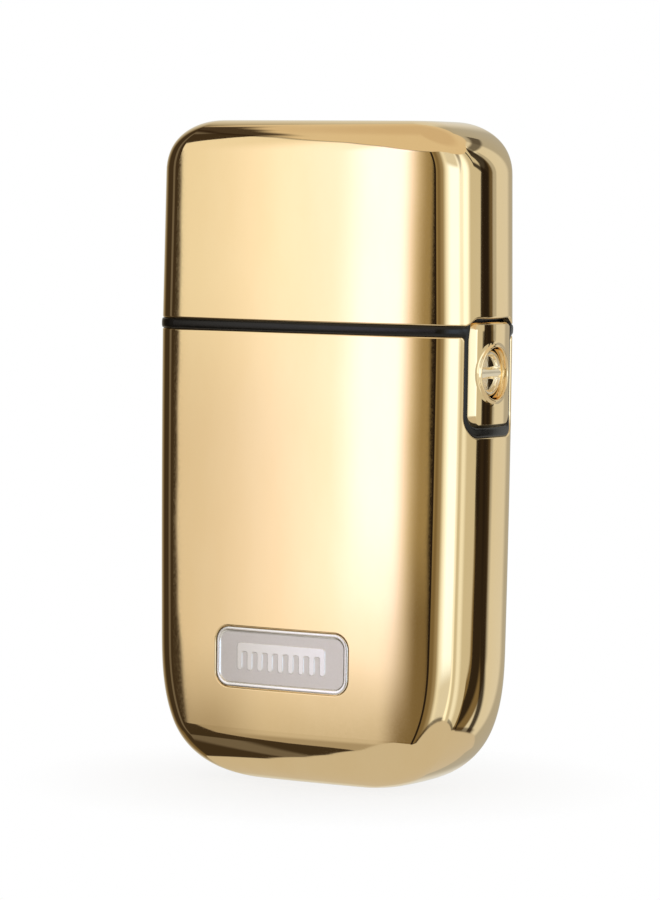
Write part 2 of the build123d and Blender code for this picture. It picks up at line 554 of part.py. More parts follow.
def light_pipe():
    """A clear rod from the charge light to the base."""
    return rod_z(LIGHT_X, 0, 0.35, 6.0, LIGHT_R) + rod_z(LIGHT_X, 0, 6.0, 9.5, LIGHT_R + 0.5)


def switch_board():
    return block(21.5, 22.5, -5.5, 5.5, 61.0, 71.6)


def tact_switch():
    body = block(22.5, 25.6, -3.0, 3.0, BUTTON_Z - 3.0, BUTTON_Z + 3.0)
    return body + rod_x(0, BUTTON_Z, 25.6, 26.25, 1.6)


def wire(points, radii, r=0.5):
    """An insulated lead along straight runs joined by arcs."""
    path = FilletPolyline(*points, radius=radii)
    return sweep(Plane(origin=path @ 0, z_dir=path % 0) * Circle(r), path=path)


LEADS = {
    "motor_lead_red": ([(5.2, -0.75, 34.8), (5.2, -5.0, 34.0), (3.5, -4.0, 28.0), (3.5, 1.55, 28.0)], 1.8),
    "motor_lead_black": ([(-5.2, -0.75, 34.8), (-4.2, -5.0, 34.0), (-1.5, -4.0, 28.0),
                          (-1.5, 1.55, 28.0)], 1.8),
    "battery_lead_red": ([(-13.0, 0, 62.75), (-11.5, -6.0, 62.5), (-11.5, -6.0, 24.0), (-8.4, -4.5, 21.0),
                          (-8.4, 1.55, 21.0)], 1.6),
    "battery_lead_black": ([(-10.2, -0.2, 11.25), (-10.2, -4.2, 11.25), (-9.7, -4.2, 18.0),
                            (-8.4, 1.55, 18.0)], 1.6),
    "switch_lead": ([(21.45, 0, 62.6), (16.0, 0, 62.6), (16.0, -1.5, 50.0), (16.0, 1.55, 50.0)], 1.4),
}


def main():
    os.makedirs("parts", exist_ok=True)
    single = [body_shell, cap, trim_band, switch_panel, power_button, nameplate, head_base, shaft_seal,
              cassette_frame, oscillating_bridge, cam, motor_can, motor_end_bell, motor_armature, motor_shaft,
              chassis_rear, chassis_front, battery_cell, main_board, usb_socket, usb_tongue, charge_led,
              light_pipe, switch_board, tact_switch]
    for build in single:
        write(build.__name__, build())
    grouped = [motor_bushes, motor_magnets, motor_terminals, motor_screws, chassis_screws, deck_screws,
               battery_tabs, board_chips]
    for build in grouped:
        made = build()
        write(build.__name__, Compound(children=list(made)) if isinstance(made, list) else made)
    for word, front in (("front", -1), ("rear", 1)):
        for build in (foil, foil_frame, cutter_blades, cutter_carrier, cutter_spring, guide_rod):
            write(f"{build.__name__}_{word}", build(front))
    for word, side in (("left", -1), ("right", 1)):
        write(f"release_button_{word}", release_button(side))
        write(f"release_spring_{word}", release_spring(side))
    for name, (points, radii) in LEADS.items():
        write(name, wire(points, radii))


main()
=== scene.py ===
"""Looks of the pocket foil shaver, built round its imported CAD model. Tables are in millimetres, the scene in metres."""
import bmesh
import bpy
import json
import math
import numpy as np
from mathutils import Matrix, Vector
from mathutils.geometry import delaunay_2d_cdt


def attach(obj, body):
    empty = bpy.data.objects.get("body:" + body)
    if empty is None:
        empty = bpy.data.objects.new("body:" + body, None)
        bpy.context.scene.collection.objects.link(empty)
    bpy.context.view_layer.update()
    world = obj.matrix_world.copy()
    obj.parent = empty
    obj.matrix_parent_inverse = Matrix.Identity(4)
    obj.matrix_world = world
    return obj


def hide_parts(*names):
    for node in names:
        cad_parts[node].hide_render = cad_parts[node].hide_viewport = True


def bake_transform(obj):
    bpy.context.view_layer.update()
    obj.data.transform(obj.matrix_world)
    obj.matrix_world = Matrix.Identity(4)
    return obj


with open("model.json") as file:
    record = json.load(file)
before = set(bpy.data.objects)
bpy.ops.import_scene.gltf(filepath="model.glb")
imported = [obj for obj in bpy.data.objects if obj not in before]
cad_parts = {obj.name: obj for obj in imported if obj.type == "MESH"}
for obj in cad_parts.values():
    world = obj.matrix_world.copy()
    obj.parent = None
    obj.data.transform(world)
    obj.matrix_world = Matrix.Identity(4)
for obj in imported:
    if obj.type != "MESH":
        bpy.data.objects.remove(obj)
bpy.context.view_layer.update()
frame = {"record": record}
MM = 0.001
RIGHT_ANGLE = math.pi / 2

# ---- the outer form, as the CAD model has it ----
HALF_W, HALF_D, HEIGHT = 30.0, 12.0, 108.5
CORNER_R, FRONT_R, SIDE_R = 5.5, 200.0, 35.0
CAP_DRAFT, BODY_DRAFT = 0.6, 0.95
TOP_CORNER_X, TOP_CORNER_Z, TOP_ROUND = 9.7, 8.3, 5.0
BASE_CORNER_X, BASE_CORNER_Z, BASE_POWER = 21.8, 23.4, 2.74
BASE_ROUND_Y, BASE_ROUND_Z = 8.0, 9.0
PARTING_Z, TRIM = 75.0, 1.6
TRIM_LOW, TRIM_TOP = PARTING_Z - TRIM / 2, PARTING_Z + TRIM / 2
BODY_WALL, CAP_WALL = 1.4, 1.2
PANEL_HALF_Y, PANEL_LOW, PANEL_CORNER = 6.35, 59.6, 1.9
BUTTON_Z = 68.2
PLATE_X, PLATE_Z, PLATE_W, PLATE_H, PLATE_CORNER = -2.6, 20.7, 25.6, 10.1, 2.6
PLATE_DEEP, TRIM_PROUD, LIGHT_X = 0.7, 0.3, 6.2
TOE_LOW = BASE_ROUND_Z - BASE_ROUND_Z * RIGHT_ANGLE
CROWN_LOW = HEIGHT - TOP_ROUND
CROWN_TOP = CROWN_LOW + TOP_ROUND * RIGHT_ANGLE


def point(*parts):
    """Coordinates side by side on the last axis. A number stands for a coordinate that is the same everywhere."""
    return np.stack(np.broadcast_arrays(*parts), axis=-1)


def join(*runs):
    return np.concatenate(runs)


def height(v):
    """The height at profile coordinate v, which runs evenly round the base and top edges."""
    toe = np.clip((BASE_ROUND_Z - v) / BASE_ROUND_Z, 0.0, RIGHT_ANGLE)
    crown = np.clip((v - CROWN_LOW) / TOP_ROUND, 0.0, RIGHT_ANGLE)
    z = np.clip(v, BASE_ROUND_Z, CROWN_LOW)
    return z - BASE_ROUND_Z * np.sin(toe) + TOP_ROUND * np.sin(crown)


def level(z):
    """Half width and half depth of the outer surface at height z."""
    up = np.maximum(0.0, z - PARTING_Z) / (HEIGHT - PARTING_Z)
    down = np.maximum(0.0, PARTING_Z - z) / PARTING_Z
    half_w = HALF_W - CAP_DRAFT * up - BODY_DRAFT * down**2
    corner = np.clip((z - HEIGHT + TOP_CORNER_Z) / TOP_CORNER_Z, 0.0, 1.0)
    half_w = half_w - TOP_CORNER_X * (1 - np.sqrt(1 - corner**2))
    foot = np.clip((BASE_CORNER_Z - z) / BASE_CORNER_Z, 0.0, 1.0)
    half_w = half_w - BASE_CORNER_X * (1 - (1 - foot**BASE_POWER) ** (1 / BASE_POWER))
    edge = np.clip((z - CROWN_LOW) / TOP_ROUND, 0.0, 1.0)
    toe = np.clip((BASE_ROUND_Z - z) / BASE_ROUND_Z, 0.0, 1.0)
    half_d = HALF_D - TOP_ROUND * (1 - np.sqrt(1 - edge**2)) - BASE_ROUND_Y * (1 - np.sqrt(1 - toe**2))
    return half_w, half_d


def corner_arc(half_w, half_d):
    """The corner arc of the section: its radius, centre, and the turns where the front and side crowns meet it."""
    r = CORNER_R * half_d / HALF_D
    front_y, side_x = FRONT_R - half_d, half_w - SIDE_R
    a, b = FRONT_R - r, SIDE_R - r
    apart = np.hypot(side_x, front_y)
    along = (apart**2 + a**2 - b**2) / (2 * apart)
    off = np.sqrt(np.maximum(a**2 - along**2, 0.0))
    ux, uy = side_x / apart, -front_y / apart
    cx, cy = ux * along - uy * off, front_y + uy * along + ux * off
    return r, cx, cy, np.arctan2(cx, front_y - cy), np.arctan2(cx - side_x, -cy)


_, _, _, TURN_FRONT, TURN_SIDE = corner_arc(HALF_W, HALF_D)
RUN_SIDE = SIDE_R * (RIGHT_ANGLE - TURN_SIDE)
RUN_CORNER = CORNER_R * (TURN_SIDE - TURN_FRONT)
RUN_FRONT = FRONT_R * TURN_FRONT
QUARTER = RUN_SIDE + RUN_CORNER + RUN_FRONT


def ring(u, half_w, half_d):
    """The section's point at distance u round it from the middle of the +X side; the front is at u = QUARTER."""
    r, cx, cy, turn_f, turn_s = corner_arc(half_w, half_d)
    run = np.abs(u)
    left = run > QUARTER
    run = np.where(left, 2 * QUARTER - run, run)
    f1 = np.clip(run / RUN_SIDE, 0, 1)
    f2 = np.clip((run - RUN_SIDE) / RUN_CORNER, 0, 1)
    f3 = np.clip((run - RUN_SIDE - RUN_CORNER) / RUN_FRONT, 0, 1)
    turn = RIGHT_ANGLE - (RIGHT_ANGLE - turn_s) * f1 - (turn_s - turn_f) * f2 - turn_f * f3
    s, c = np.sin(turn), np.cos(turn)
    x = np.where(f3 > 0, FRONT_R * s, np.where(f2 > 0, cx + r * s, half_w - SIDE_R + SIDE_R * s))
    y = np.where(f3 > 0, FRONT_R - half_d - FRONT_R * c, np.where(f2 > 0, cy - r * c, -SIDE_R * c))
    return np.where(left, -x, x), np.where(u < 0, -y, y)


def form(q, inset=0.0):
    """Points of the outer form, or of one moved in by inset, at coordinates q = (u, v)."""
    z = height(q[..., 1])
    half_w, half_d = level(z)
    x, y = ring(q[..., 0], half_w - inset, half_d - inset)
    return point(x, y, inset + z * (HEIGHT - 2 * inset) / HEIGHT)


def front(q):
    """Points of the crowned front at q = (x, z)."""
    x, z = q[..., 0], q[..., 1]
    return point(x, FRONT_R - HALF_D - np.sqrt(FRONT_R**2 - x**2), z)


def foot(q):
    """Points of the flat base at q = (x, y)."""
    return point(q[..., 0], q[..., 1], 0.0)


def flat_at(z):
    """The level surface at a height."""
    return lambda q: foot(q) + (0.0, 0.0, z)


def front_to_form(q):
    """Coordinates on the outer form of points of the front."""
    half_w, half_d = level(q[..., 1])
    turn_f = corner_arc(half_w, half_d)[3]
    turn = np.arcsin(q[..., 0] / FRONT_R)
    return point(QUARTER - RUN_FRONT * turn / turn_f, q[..., 1])


def unit(a):
    return a / np.maximum(np.linalg.norm(a, axis=-1, keepdims=True), 1e-12)


def slope(surface, q, way):
    """Unit tangents of a surface at q along one direction of its coordinates, or along one for each point."""
    step = np.asarray(way) * 1e-3
    return unit(surface(q + step) - surface(q - step))


def normal(surface, q, sign=1.0):
    return sign * unit(np.cross(slope(surface, q, (0.0, 1.0)), slope(surface, q, (1.0, 0.0))))


def square_to(n, t):
    """Unit vectors along t, made square to the normals n."""
    return unit(t - n * (t * n).sum(-1, keepdims=True))


def sunk(surface, turned, depth):
    """A surface moved in along its normals."""
    return lambda q: surface(q) - turned(q) * depth


def hollow_form(wall):
    """The inner face of a wall of the outer form, and its normals."""
    surface = lambda q: form(q, wall)
    return surface, lambda q: -normal(surface, q)


def left_of(along):
    return point(-along[:, 1], along[:, 0])


# ---- meshes with true normals ----
class Skin:
    """Points with their true normals and the faces between them. Points at one place are welded."""

    def __init__(self):
        self.points, self.normals, self.faces, self.count = [], [], [], 0

    def add(self, points, normals):
        """Takes in points with their normals, and gives their numbers."""
        self.points.append(points.reshape(-1, 3))
        self.normals.append(np.broadcast_to(normals, points.shape).reshape(-1, 3))
        index = np.arange(self.count, self.count + self.points[-1].shape[0])
        self.count += index.size
        return index.reshape(points.shape[:-1])

    def quads(self, rows):
        """Faces between the rows and columns of a grid of point numbers."""
        grid = np.stack(rows)
        a, b, c, d = grid[:-1, :-1], grid[1:, :-1], grid[1:, 1:], grid[:-1, 1:]
        self.faces.extend(np.stack([a, b, c, d], axis=-1).reshape(-1, 4).tolist())

    def loops(self, *rows):
        """Faces between closed rows of point numbers."""
        grid = np.stack(rows)
        self.quads(np.concatenate([grid, grid[:, :1]], axis=1))

    def make(self, name, material):
        points, normals = np.concatenate(self.points), unit(np.concatenate(self.normals))
        _, first, where = np.unique(np.round(points, 4), axis=0, return_index=True, return_inverse=True)
        where = where.reshape(-1)
        welded = points[first]
        faces, loops = [], []
        for face in self.faces:
            kept = [i for n, i in enumerate(face) if where[i] != where[face[n - 1]]]
            if len(kept) < 3:
                continue
            p = welded[where[kept]]
            across = np.cross(p[1] - p[0], p[2] - p[0]) if len(kept) == 3 else np.cross(p[2] - p[0], p[3] - p[1])
            if across @ normals[kept].sum(axis=0) < 0:
                kept.reverse()
            faces.append([int(where[i]) for i in kept])
            loops.extend(kept)
        mesh = bpy.data.meshes.new(name)
        mesh.from_pydata((welded * MM).tolist(), [], faces)
        mesh.polygons.foreach_set("use_smooth", [True] * len(mesh.polygons))
        mesh.normals_split_custom_set(normals[loops].tolist())
        mesh.update()
        return put(name, mesh, material)


def put(name, data, material):
    piece = bpy.data.objects.new(name, data)
    bpy.context.scene.collection.objects.link(piece)
    data.materials.clear()
    data.materials.append(material)
    return piece


def stand_for(piece, body, node):
    """The piece rides on a body and stands for a CAD node, which it hides."""
    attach(piece, body)
    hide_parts(node)


def inside(points, loops):
    """Whether each point is inside the region bounded by the loops, counting crossings."""
    odd = np.zeros(len(points), bool)
    x, y = points[:, 0], points[:, 1]
    for loop in loops:
        for (x0, y0), (x1, y1) in zip(loop, np.roll(loop, -1, axis=0)):
            spans = (y0 > y) != (y1 > y)
            if spans.any():
                cross = x0 + (y - y0) * (x1 - x0) / (y1 - y0 if y1 != y0 else 1e-12)
                odd ^= spans & (x < cross)
    return odd


def clearance(points, loops):
    """Distance of each point from the nearest corner of any loop."""
    corners = np.concatenate(loops)
    return np.sqrt(((points[:, None, :] - corners[None, :, :]) ** 2).sum(-1)).min(axis=1)


def fill(skin, surface, turned, loops, inner=None, room=0.3):
    """Triangles over the region between loops, given in the surface's coordinates."""
    points = [np.asarray(loop, float) for loop in loops]
    edges, start = [], 0
    for loop in points:
        n = len(loop)
        edges += [(start + i, start + (i + 1) % n) for i in range(n)]
        start += n
    if inner is not None:
        inner = inner[inside(inner, points)]
        inner = inner[clearance(inner, points) > room]
    flat = np.concatenate(points + ([inner] if inner is not None else []))
    made = delaunay_2d_cdt([Vector(p) for p in flat], edges, [], 0, 1e-7)
    spots = np.array([flat[o[0]] if o else tuple(p) for p, o in zip(made[0], made[3])])
    faces = np.array([f for f in made[2] if len(f) == 3])
    faces = faces[inside(spots[faces].mean(axis=1), points)]
    index = skin.add(surface(spots), turned(spots))
    skin.faces.extend(index[faces].tolist())


def rounded(corners, radii, step, bend, closed=True):
    """A path with rounded corners, and the unit directions to its left. A radius of 0 is passed through."""
    corners = np.asarray(corners, float)
    n = len(corners)
    runs = []
    for i in range(n):
        if not closed and i in (0, n - 1):
            runs.append(corners[i : i + 1])
            continue
        before, here, after = corners[i - 1], corners[i], corners[(i + 1) % n]
        a, b = unit(before - here), unit(after - here)
        if radii[i] <= 0:
            runs.append(here[None])
            continue
        half = math.acos(float(np.clip(a @ b, -1, 1))) / 2
        centre = here + unit(a + b) * radii[i] / math.sin(half)
        start, end = here + a * radii[i] / math.tan(half), here + b * radii[i] / math.tan(half)
        a0, a1 = math.atan2(*(start - centre)[::-1]), math.atan2(*(end - centre)[::-1])
        sweep = (a1 - a0 + math.pi) % (2 * math.pi) - math.pi
        turns = a0 + sweep * np.linspace(0, 1, bend)
        runs.append(centre + radii[i] * point(np.cos(turns), np.sin(turns)))
    path = []
    for i, run in enumerate(runs):
        path += list(run)
        if i == n - 1 and not closed:
            break
        target = runs[(i + 1) % n][0]
        parts = max(1, int(np.ceil(np.linalg.norm(target - run[-1]) / step)))
        path += [run[-1] + (target - run[-1]) * k / parts for k in range(1, parts)]
    path = np.array(path)
    if closed:
        along = np.roll(path, -1, axis=0) - np.roll(path, 1, axis=0)
    else:
        along = np.gradient(path, axis=0)
    return path, left_of(unit(along))


def roll(skin, surface, turned, edge, out, radius, depth, closed=True):
    """Rounds a surface over its edge and runs the wall down to a depth. Returns the first and last rows."""
    rows = []
    for a in np.linspace(0, RIGHT_ANGLE, 7):
        q = edge - out * radius * (1 - math.sin(a))
        n = turned(q)
        t = square_to(n, slope(surface, q, out))
        rows.append(skin.add(surface(q) - n * radius * (1 - math.cos(a)), n * math.cos(a) + t * math.sin(a)))
    n = turned(edge)
    rows.append(skin.add(surface(edge) - n * depth, t))
    if closed:
        skin.loops(*rows)
    else:
        skin.quads(rows)
    return rows[0], rows[-1]


def form_normal(q):
    return normal(form, q)


def front_normal(q):
    return normal(front, q, -1.0)


def down(q):
    return np.broadcast_to((0.0, 0.0, -1.0), q.shape[:-1] + (3,))


def up(q):
    return -down(q)


# ---- materials ----
class Graph:
    """A node tree, and a short way to add nodes to it."""

    def __init__(self, tree):
        self.nodes, self.links = tree.nodes, tree.links

    def set(self, socket, value):
        """Links another node's output to a socket, or sets the socket's own value."""
        if isinstance(value, bpy.types.NodeSocket):
            self.links.new(value, socket)
        else:
            socket.default_value = value

    def add(self, kind, inputs=(), **settings):
        """A new node with its settings, and its inputs by name or number."""
        node = self.nodes.new("ShaderNode" + kind)
        for name, value in settings.items():
            setattr(node, name, value)
        for name, value in dict(inputs).items():
            self.set(node.inputs[name], value)
        return node


def shader(name):
    material = bpy.data.materials.new(name)
    material.use_nodes = True
    return material, Graph(material.node_tree), material.node_tree.nodes["Principled BSDF"].inputs


def noise(graph, scale, detail=3.0, rough=0.5, stretch=None):
    """A noise texture in the object's own coordinates; scale is in cells per metre."""
    source = graph.add("TexCoord").outputs["Object"]
    if stretch:
        source = graph.add("Mapping", {"Vector": source, "Scale": stretch}).outputs["Vector"]
    inputs = {"Vector": source, "Scale": scale, "Detail": detail, "Roughness": rough}
    return graph.add("TexNoise", inputs).outputs["Fac"]


def ramp(graph, source, stops):
    """A colour ramp; stops are two of (position, grey or colour)."""
    node = graph.add("ValToRGB", {"Fac": source})
    for element, (position, value) in zip(node.color_ramp.elements, stops):
        element.position = position
        element.color = (*(value if isinstance(value, tuple) else (value,) * 3), 1.0)
    return node.outputs["Color"]


def bump(graph, source, strength, distance):
    return graph.add("Bump", {"Height": source, "Strength": strength, "Distance": distance}).outputs["Normal"]


def tinted(colour, factor):
    return tuple(min(1.0, c * factor) for c in colour)


def finish(name, colour, metallic, rough, grain, vary, relief=0.0, stretch=None, **plain):
    """A surface whose colour and roughness wander with a noise, and which may have a fine relief."""
    material, graph, sockets = shader(name)
    for socket, value in plain.items():
        sockets[socket.replace("_", " ")].default_value = value
    cloud = noise(graph, grain, rough=0.55, stretch=stretch)
    shades = [(0.3, tinted(colour, 1 - vary)), (0.7, tinted(colour, 1 + vary))]
    sockets["Metallic"].default_value = metallic
    graph.set(sockets["Base Color"], ramp(graph, cloud, shades))
    graph.set(sockets["Roughness"], ramp(graph, cloud, [(0.3, rough[0]), (0.7, rough[1])]))
    if relief:
        graph.set(sockets["Normal"], bump(graph, noise(graph, grain * 6, 2.0, 0.6, stretch), relief, 0.0001))
    return material


def gold_plate():
    """Mirror plating: nearly clean, with a faint wipe haze and hardly any waviness."""
    material, graph, sockets = shader("gold_plate_mirror")
    sockets["Metallic"].default_value = 1.0
    haze = noise(graph, 90.0, 5.0, 0.6, (1.0, 1.0, 0.35))
    colours = [(0.35, (0.965, 0.745, 0.425)), (0.65, (0.980, 0.770, 0.455))]
    graph.set(sockets["Base Color"], ramp(graph, haze, colours))
    specks = noise(graph, 2600.0, 2.0)
    mixed = graph.add("Math", {0: haze, 1: 0.6, 2: specks}, operation="MULTIPLY_ADD").outputs[0]
    graph.set(sockets["Roughness"], ramp(graph, mixed, [(0.55, 0.022), (1.0, 0.050)]))
    graph.set(sockets["Normal"], bump(graph, noise(graph, 55.0, 1.0, 0.4), 0.05, 0.0004))
    return material


GOLD = gold_plate()
PALE_GOLD = finish("gold_satin", (0.94, 0.82, 0.61), 1, (0.05, 0.09), 900, 0.03, 0.02)
GLOSS_BLACK = finish("black_gloss", (0.007, 0.0065, 0.006), 0, (0.20, 0.28), 900, 0.2, 0.02,
                     Coat_Weight=0.12, Coat_Roughness=0.15, Specular_IOR_Level=0.32)
SATIN_BLACK = finish("black_plastic", (0.022, 0.022, 0.024), 0, (0.42, 0.52), 1500, 0.15, 0.25)
PLATE_FIELD = finish("silver_satin", (0.965, 0.94, 0.925), 1, (0.36, 0.44), 2500, 0.02, 0.12)
PLATE_RIM = finish("silver_polished", (0.96, 0.955, 0.95), 1, (0.20, 0.26), 1200, 0.02, 0.02)
STEEL = finish("steel_brushed", (0.62, 0.62, 0.63), 1, (0.22, 0.34), 300, 0.06, 0.12, (1, 12, 12))
FOIL = finish("foil_steel", (0.70, 0.69, 0.67), 1, (0.20, 0.30), 700, 0.05, 0.05)
FINISHES = {  # by record slot
    "gold_plate": GOLD, "black_gloss": GLOSS_BLACK, "silver_plate": PLATE_FIELD, "black_plastic": SATIN_BLACK,
    "steel": STEEL,
    "nickel": finish("nickel", (0.68, 0.64, 0.56), 1, (0.18, 0.28), 600, 0.04, 0.03),
    "brass": finish("brass", (0.72, 0.52, 0.22), 1, (0.22, 0.34), 500, 0.06, 0.06),
    "white_plastic": finish("white_plastic", (0.78, 0.78, 0.74), 0, (0.36, 0.46), 700, 0.03, 0.08),
    "grey_plastic": finish("grey_plastic", (0.13, 0.135, 0.145), 0, (0.45, 0.55), 1200, 0.10, 0.2),
    "copper": finish("copper_windings", (0.62, 0.26, 0.11), 1, (0.25, 0.40), 260, 0.15, 0.5, (14, 14, 1)),
    "ferrite": finish("ferrite", (0.07, 0.07, 0.075), 0, (0.6, 0.75), 1800, 0.2, 0.3),
    "board_green": finish("board_green", (0.015, 0.11, 0.045), 0, (0.25, 0.4), 500, 0.25, 0.1, Coat_Weight=0.3),
    "chip_black": finish("chip_black", (0.018, 0.018, 0.019), 0, (0.5, 0.62), 2600, 0.15, 0.2),
    "cell_wrap": finish("cell_wrap", (0.02, 0.12, 0.26), 0, (0.2, 0.3), 120, 0.12, 0.04, Coat_Weight=0.4),
    "wire_red": finish("wire_red", (0.42, 0.012, 0.010), 0, (0.38, 0.5), 900, 0.1, 0.06),
    "wire_black": finish("wire_black", (0.015, 0.015, 0.016), 0, (0.4, 0.52), 900, 0.15, 0.06),
    "rubber": finish("rubber", (0.02, 0.02, 0.02), 0, (0.6, 0.75), 1300, 0.2, 0.2),
    "clear": finish("clear_lens", (0.92, 0.92, 0.88), 0, (0.05, 0.1), 300, 0.02, Transmission_Weight=0.9, IOR=1.49),
}

# ---- the plated skins ----
EDGE_R = 0.35
WINDOW_U = RUN_SIDE + RUN_CORNER
STEP_START, STEP_END, STEP_RISE = 7.9, 4.9, 1.2
SHOULDER_Z = 54.0  # above it the +X side is filled round the notch, and below it the skin is a plain grid
PLATE_WINDOW = (QUARTER - 15.5, QUARTER + 20.5, 12.4, 29.5)  # the part of the grid left open round the nameplate
NOTCH_HALF, NOTCH_CORNER, NOTCH_TOP_R = PANEL_HALF_Y + TRIM, PANEL_CORNER + TRIM, 0.8
NEAR = 1e-6


def cap_rim(u):
    """Height of the cap's rim, which steps up over the switch panel in a soft curve."""
    t = np.clip((STEP_START - np.abs(u)) / (STEP_START - STEP_END), 0.0, 1.0)
    return TRIM_TOP + STEP_RISE * t * t * (3 - 2 * t)


def columns():
    """Coordinates round the form, closer together at the corners."""
    runs = [np.linspace(0, RUN_SIDE, 27), np.linspace(RUN_SIDE, WINDOW_U, 33), np.linspace(WINDOW_U, QUARTER, 29)]
    quarter = np.unique(np.concatenate(runs))
    half = join(quarter, (2 * QUARTER - quarter[::-1])[1:])
    return join(-half[::-1], half[1:])


U = columns()


def rectangle(x, y, half_w, half_h, corner, step, bend):
    """A rectangle with rounded corners, and the directions into it."""
    corners = [(x + sx * half_w, y + sy * half_h) for sx, sy in ((-1, -1), (1, -1), (1, 1), (-1, 1))]
    return rounded(corners, [corner] * 4, step, bend)


def plate_outline(inset=0.0):
    """The nameplate's outline in (x, z), moved in by inset."""
    return rectangle(PLATE_X, PLATE_Z, PLATE_W / 2 - inset, PLATE_H / 2 - inset, PLATE_CORNER - inset, 0.7, 11)


def slot_outline(x, w, h):
    """A slot with round ends on the base's middle line."""
    return rectangle(x, 0.0, w / 2, h / 2, h / 2 - 1e-3, 0.6, 9)


def notch_edge():
    """The body's top edge in (u, v): round the back at the seal, and down round the switch panel."""
    half = [(NOTCH_HALF, PANEL_LOW - TRIM), (NOTCH_HALF, TRIM_LOW), (WINDOW_U, TRIM_LOW)]
    corners = [(-u, v) for u, v in half[::-1]] + half
    radii = [0, NOTCH_TOP_R, NOTCH_CORNER, NOTCH_CORNER, NOTCH_TOP_R, 0]
    path, out = (run[1:-1] for run in rounded(corners, radii, 0.3, 13, closed=False))
    straight = point(U[U >= WINDOW_U], TRIM_LOW)
    upward = np.broadcast_to((0.0, 1.0), straight.shape)
    edge = join(straight[::-1] * (-1, 1), path, straight)
    return edge, join(upward, out, upward), path, out


def tub(skin, surface, turned, rows, top, path):
    """The skin of the body below its top edge, with the nameplate's window left open.

    Returns the lowest row's coordinates, the window's loop, and the grid's coordinates within the window."""
    grid_q = point(*np.meshgrid(U, rows))
    index = skin.add(surface(grid_q), turned(grid_q))
    middle = (U[:-1] + U[1:]) / 2
    low = rows[rows <= SHOULDER_Z + NEAR][-1]
    u0, u1, v0, v1 = PLATE_WINDOW
    js, ks = np.where((rows > v0) & (rows < v1))[0], np.where((U > u0) & (U < u1))[0]
    for j in range(len(rows) - 1):
        keep = ~((np.abs(middle) < WINDOW_U) & (rows[j] >= low - NEAR))
        if js[0] <= j < js[-1]:
            keep[ks[0] : ks[-1]] = False
        cells = np.stack([index[j, :-1], index[j + 1, :-1], index[j + 1, 1:], index[j, 1:]], axis=-1)[keep]
        skin.faces.extend(cells.tolist())
    bottom = point(U[np.abs(U) <= WINDOW_U + NEAR], low)
    right = point(WINDOW_U, rows[(rows > low) & (rows < top - NEAR)])
    flat_edge = join([(-WINDOW_U, top)], path, [(WINDOW_U, top)])
    loop = join(bottom, right, flat_edge[::-1], (right * (-1, 1))[::-1])
    inner = grid_q[:, np.abs(U) < WINDOW_U - NEAR].reshape(-1, 2)
    fill(skin, surface, turned, [loop], inner[inner[:, 1] > low + 0.2], 0.28)
    us, vs = U[ks], rows[js]
    sides = [(us, vs[:1]), (us[-1:], vs[1:]), (us[-2::-1], vs[-1:]), (us[:1], vs[-2:0:-1])]
    window = join(*(point(a, b) for a, b in sides))
    return grid_q[0], window, grid_q[js[1:-1]][:, ks[1:-1]].reshape(-1, 2)


def body_skin():
    skin = Skin()
    heights = [TOE_LOW + (BASE_ROUND_Z - TOE_LOW) * np.linspace(0, 1, 33) ** 1.25,
               np.linspace(BASE_ROUND_Z, BASE_CORNER_Z, 19), np.linspace(BASE_CORNER_Z, SHOULDER_Z, 25),
               np.linspace(SHOULDER_Z, TRIM_LOW - EDGE_R, 21)]
    edge, way, path, out = notch_edge()
    _, wall = roll(skin, form, form_normal, edge, way, EDGE_R, BODY_WALL - 0.2, closed=False)
    rows = np.unique(np.concatenate(heights))
    outside, window, spots = tub(skin, form, form_normal, rows, TRIM_LOW - EDGE_R, path - out * EDGE_R)
    # the nameplate's recess
    recess_r = 0.22
    hole, into = plate_outline()
    roll(skin, front, front_normal, hole, into, recess_r, PLATE_DEEP)
    fill(skin, form, form_normal, [window, front_to_form(hole - into * recess_r)], spots, 0.5)
    fill(skin, sunk(front, front_normal, PLATE_DEEP), front_normal, [hole])
    # the inside
    hollow, hollow_normal = hollow_form(BODY_WALL)
    heights = [np.linspace(TOE_LOW, SHOULDER_Z, 30), np.linspace(SHOULDER_Z, TRIM_LOW, 9)]
    within, window, spots = tub(skin, hollow, hollow_normal, np.unique(np.concatenate(heights)), TRIM_LOW, path)
    fill(skin, hollow, hollow_normal, [window], spots, 0.5)
    skin.quads([wall, skin.add(hollow(edge), slope(hollow, edge, way))])
    # the flat foot with the charging socket and the charge light
    slot_r = 0.15
    slots = [slot_outline(0.0, 9.44, 3.7), slot_outline(LIGHT_X, 1.7, 1.7)]
    for hole, into in slots:
        roll(skin, foot, down, hole, into, slot_r, BODY_WALL)
    fill(skin, foot, down, [form(outside)[:-1, :2], *(hole - into * slot_r for hole, into in slots)])
    fill(skin, flat_at(BODY_WALL), up, [hollow(within)[:-1, :2], *(hole for hole, _ in slots)])
    return skin.make("body_shell_plated", GOLD)


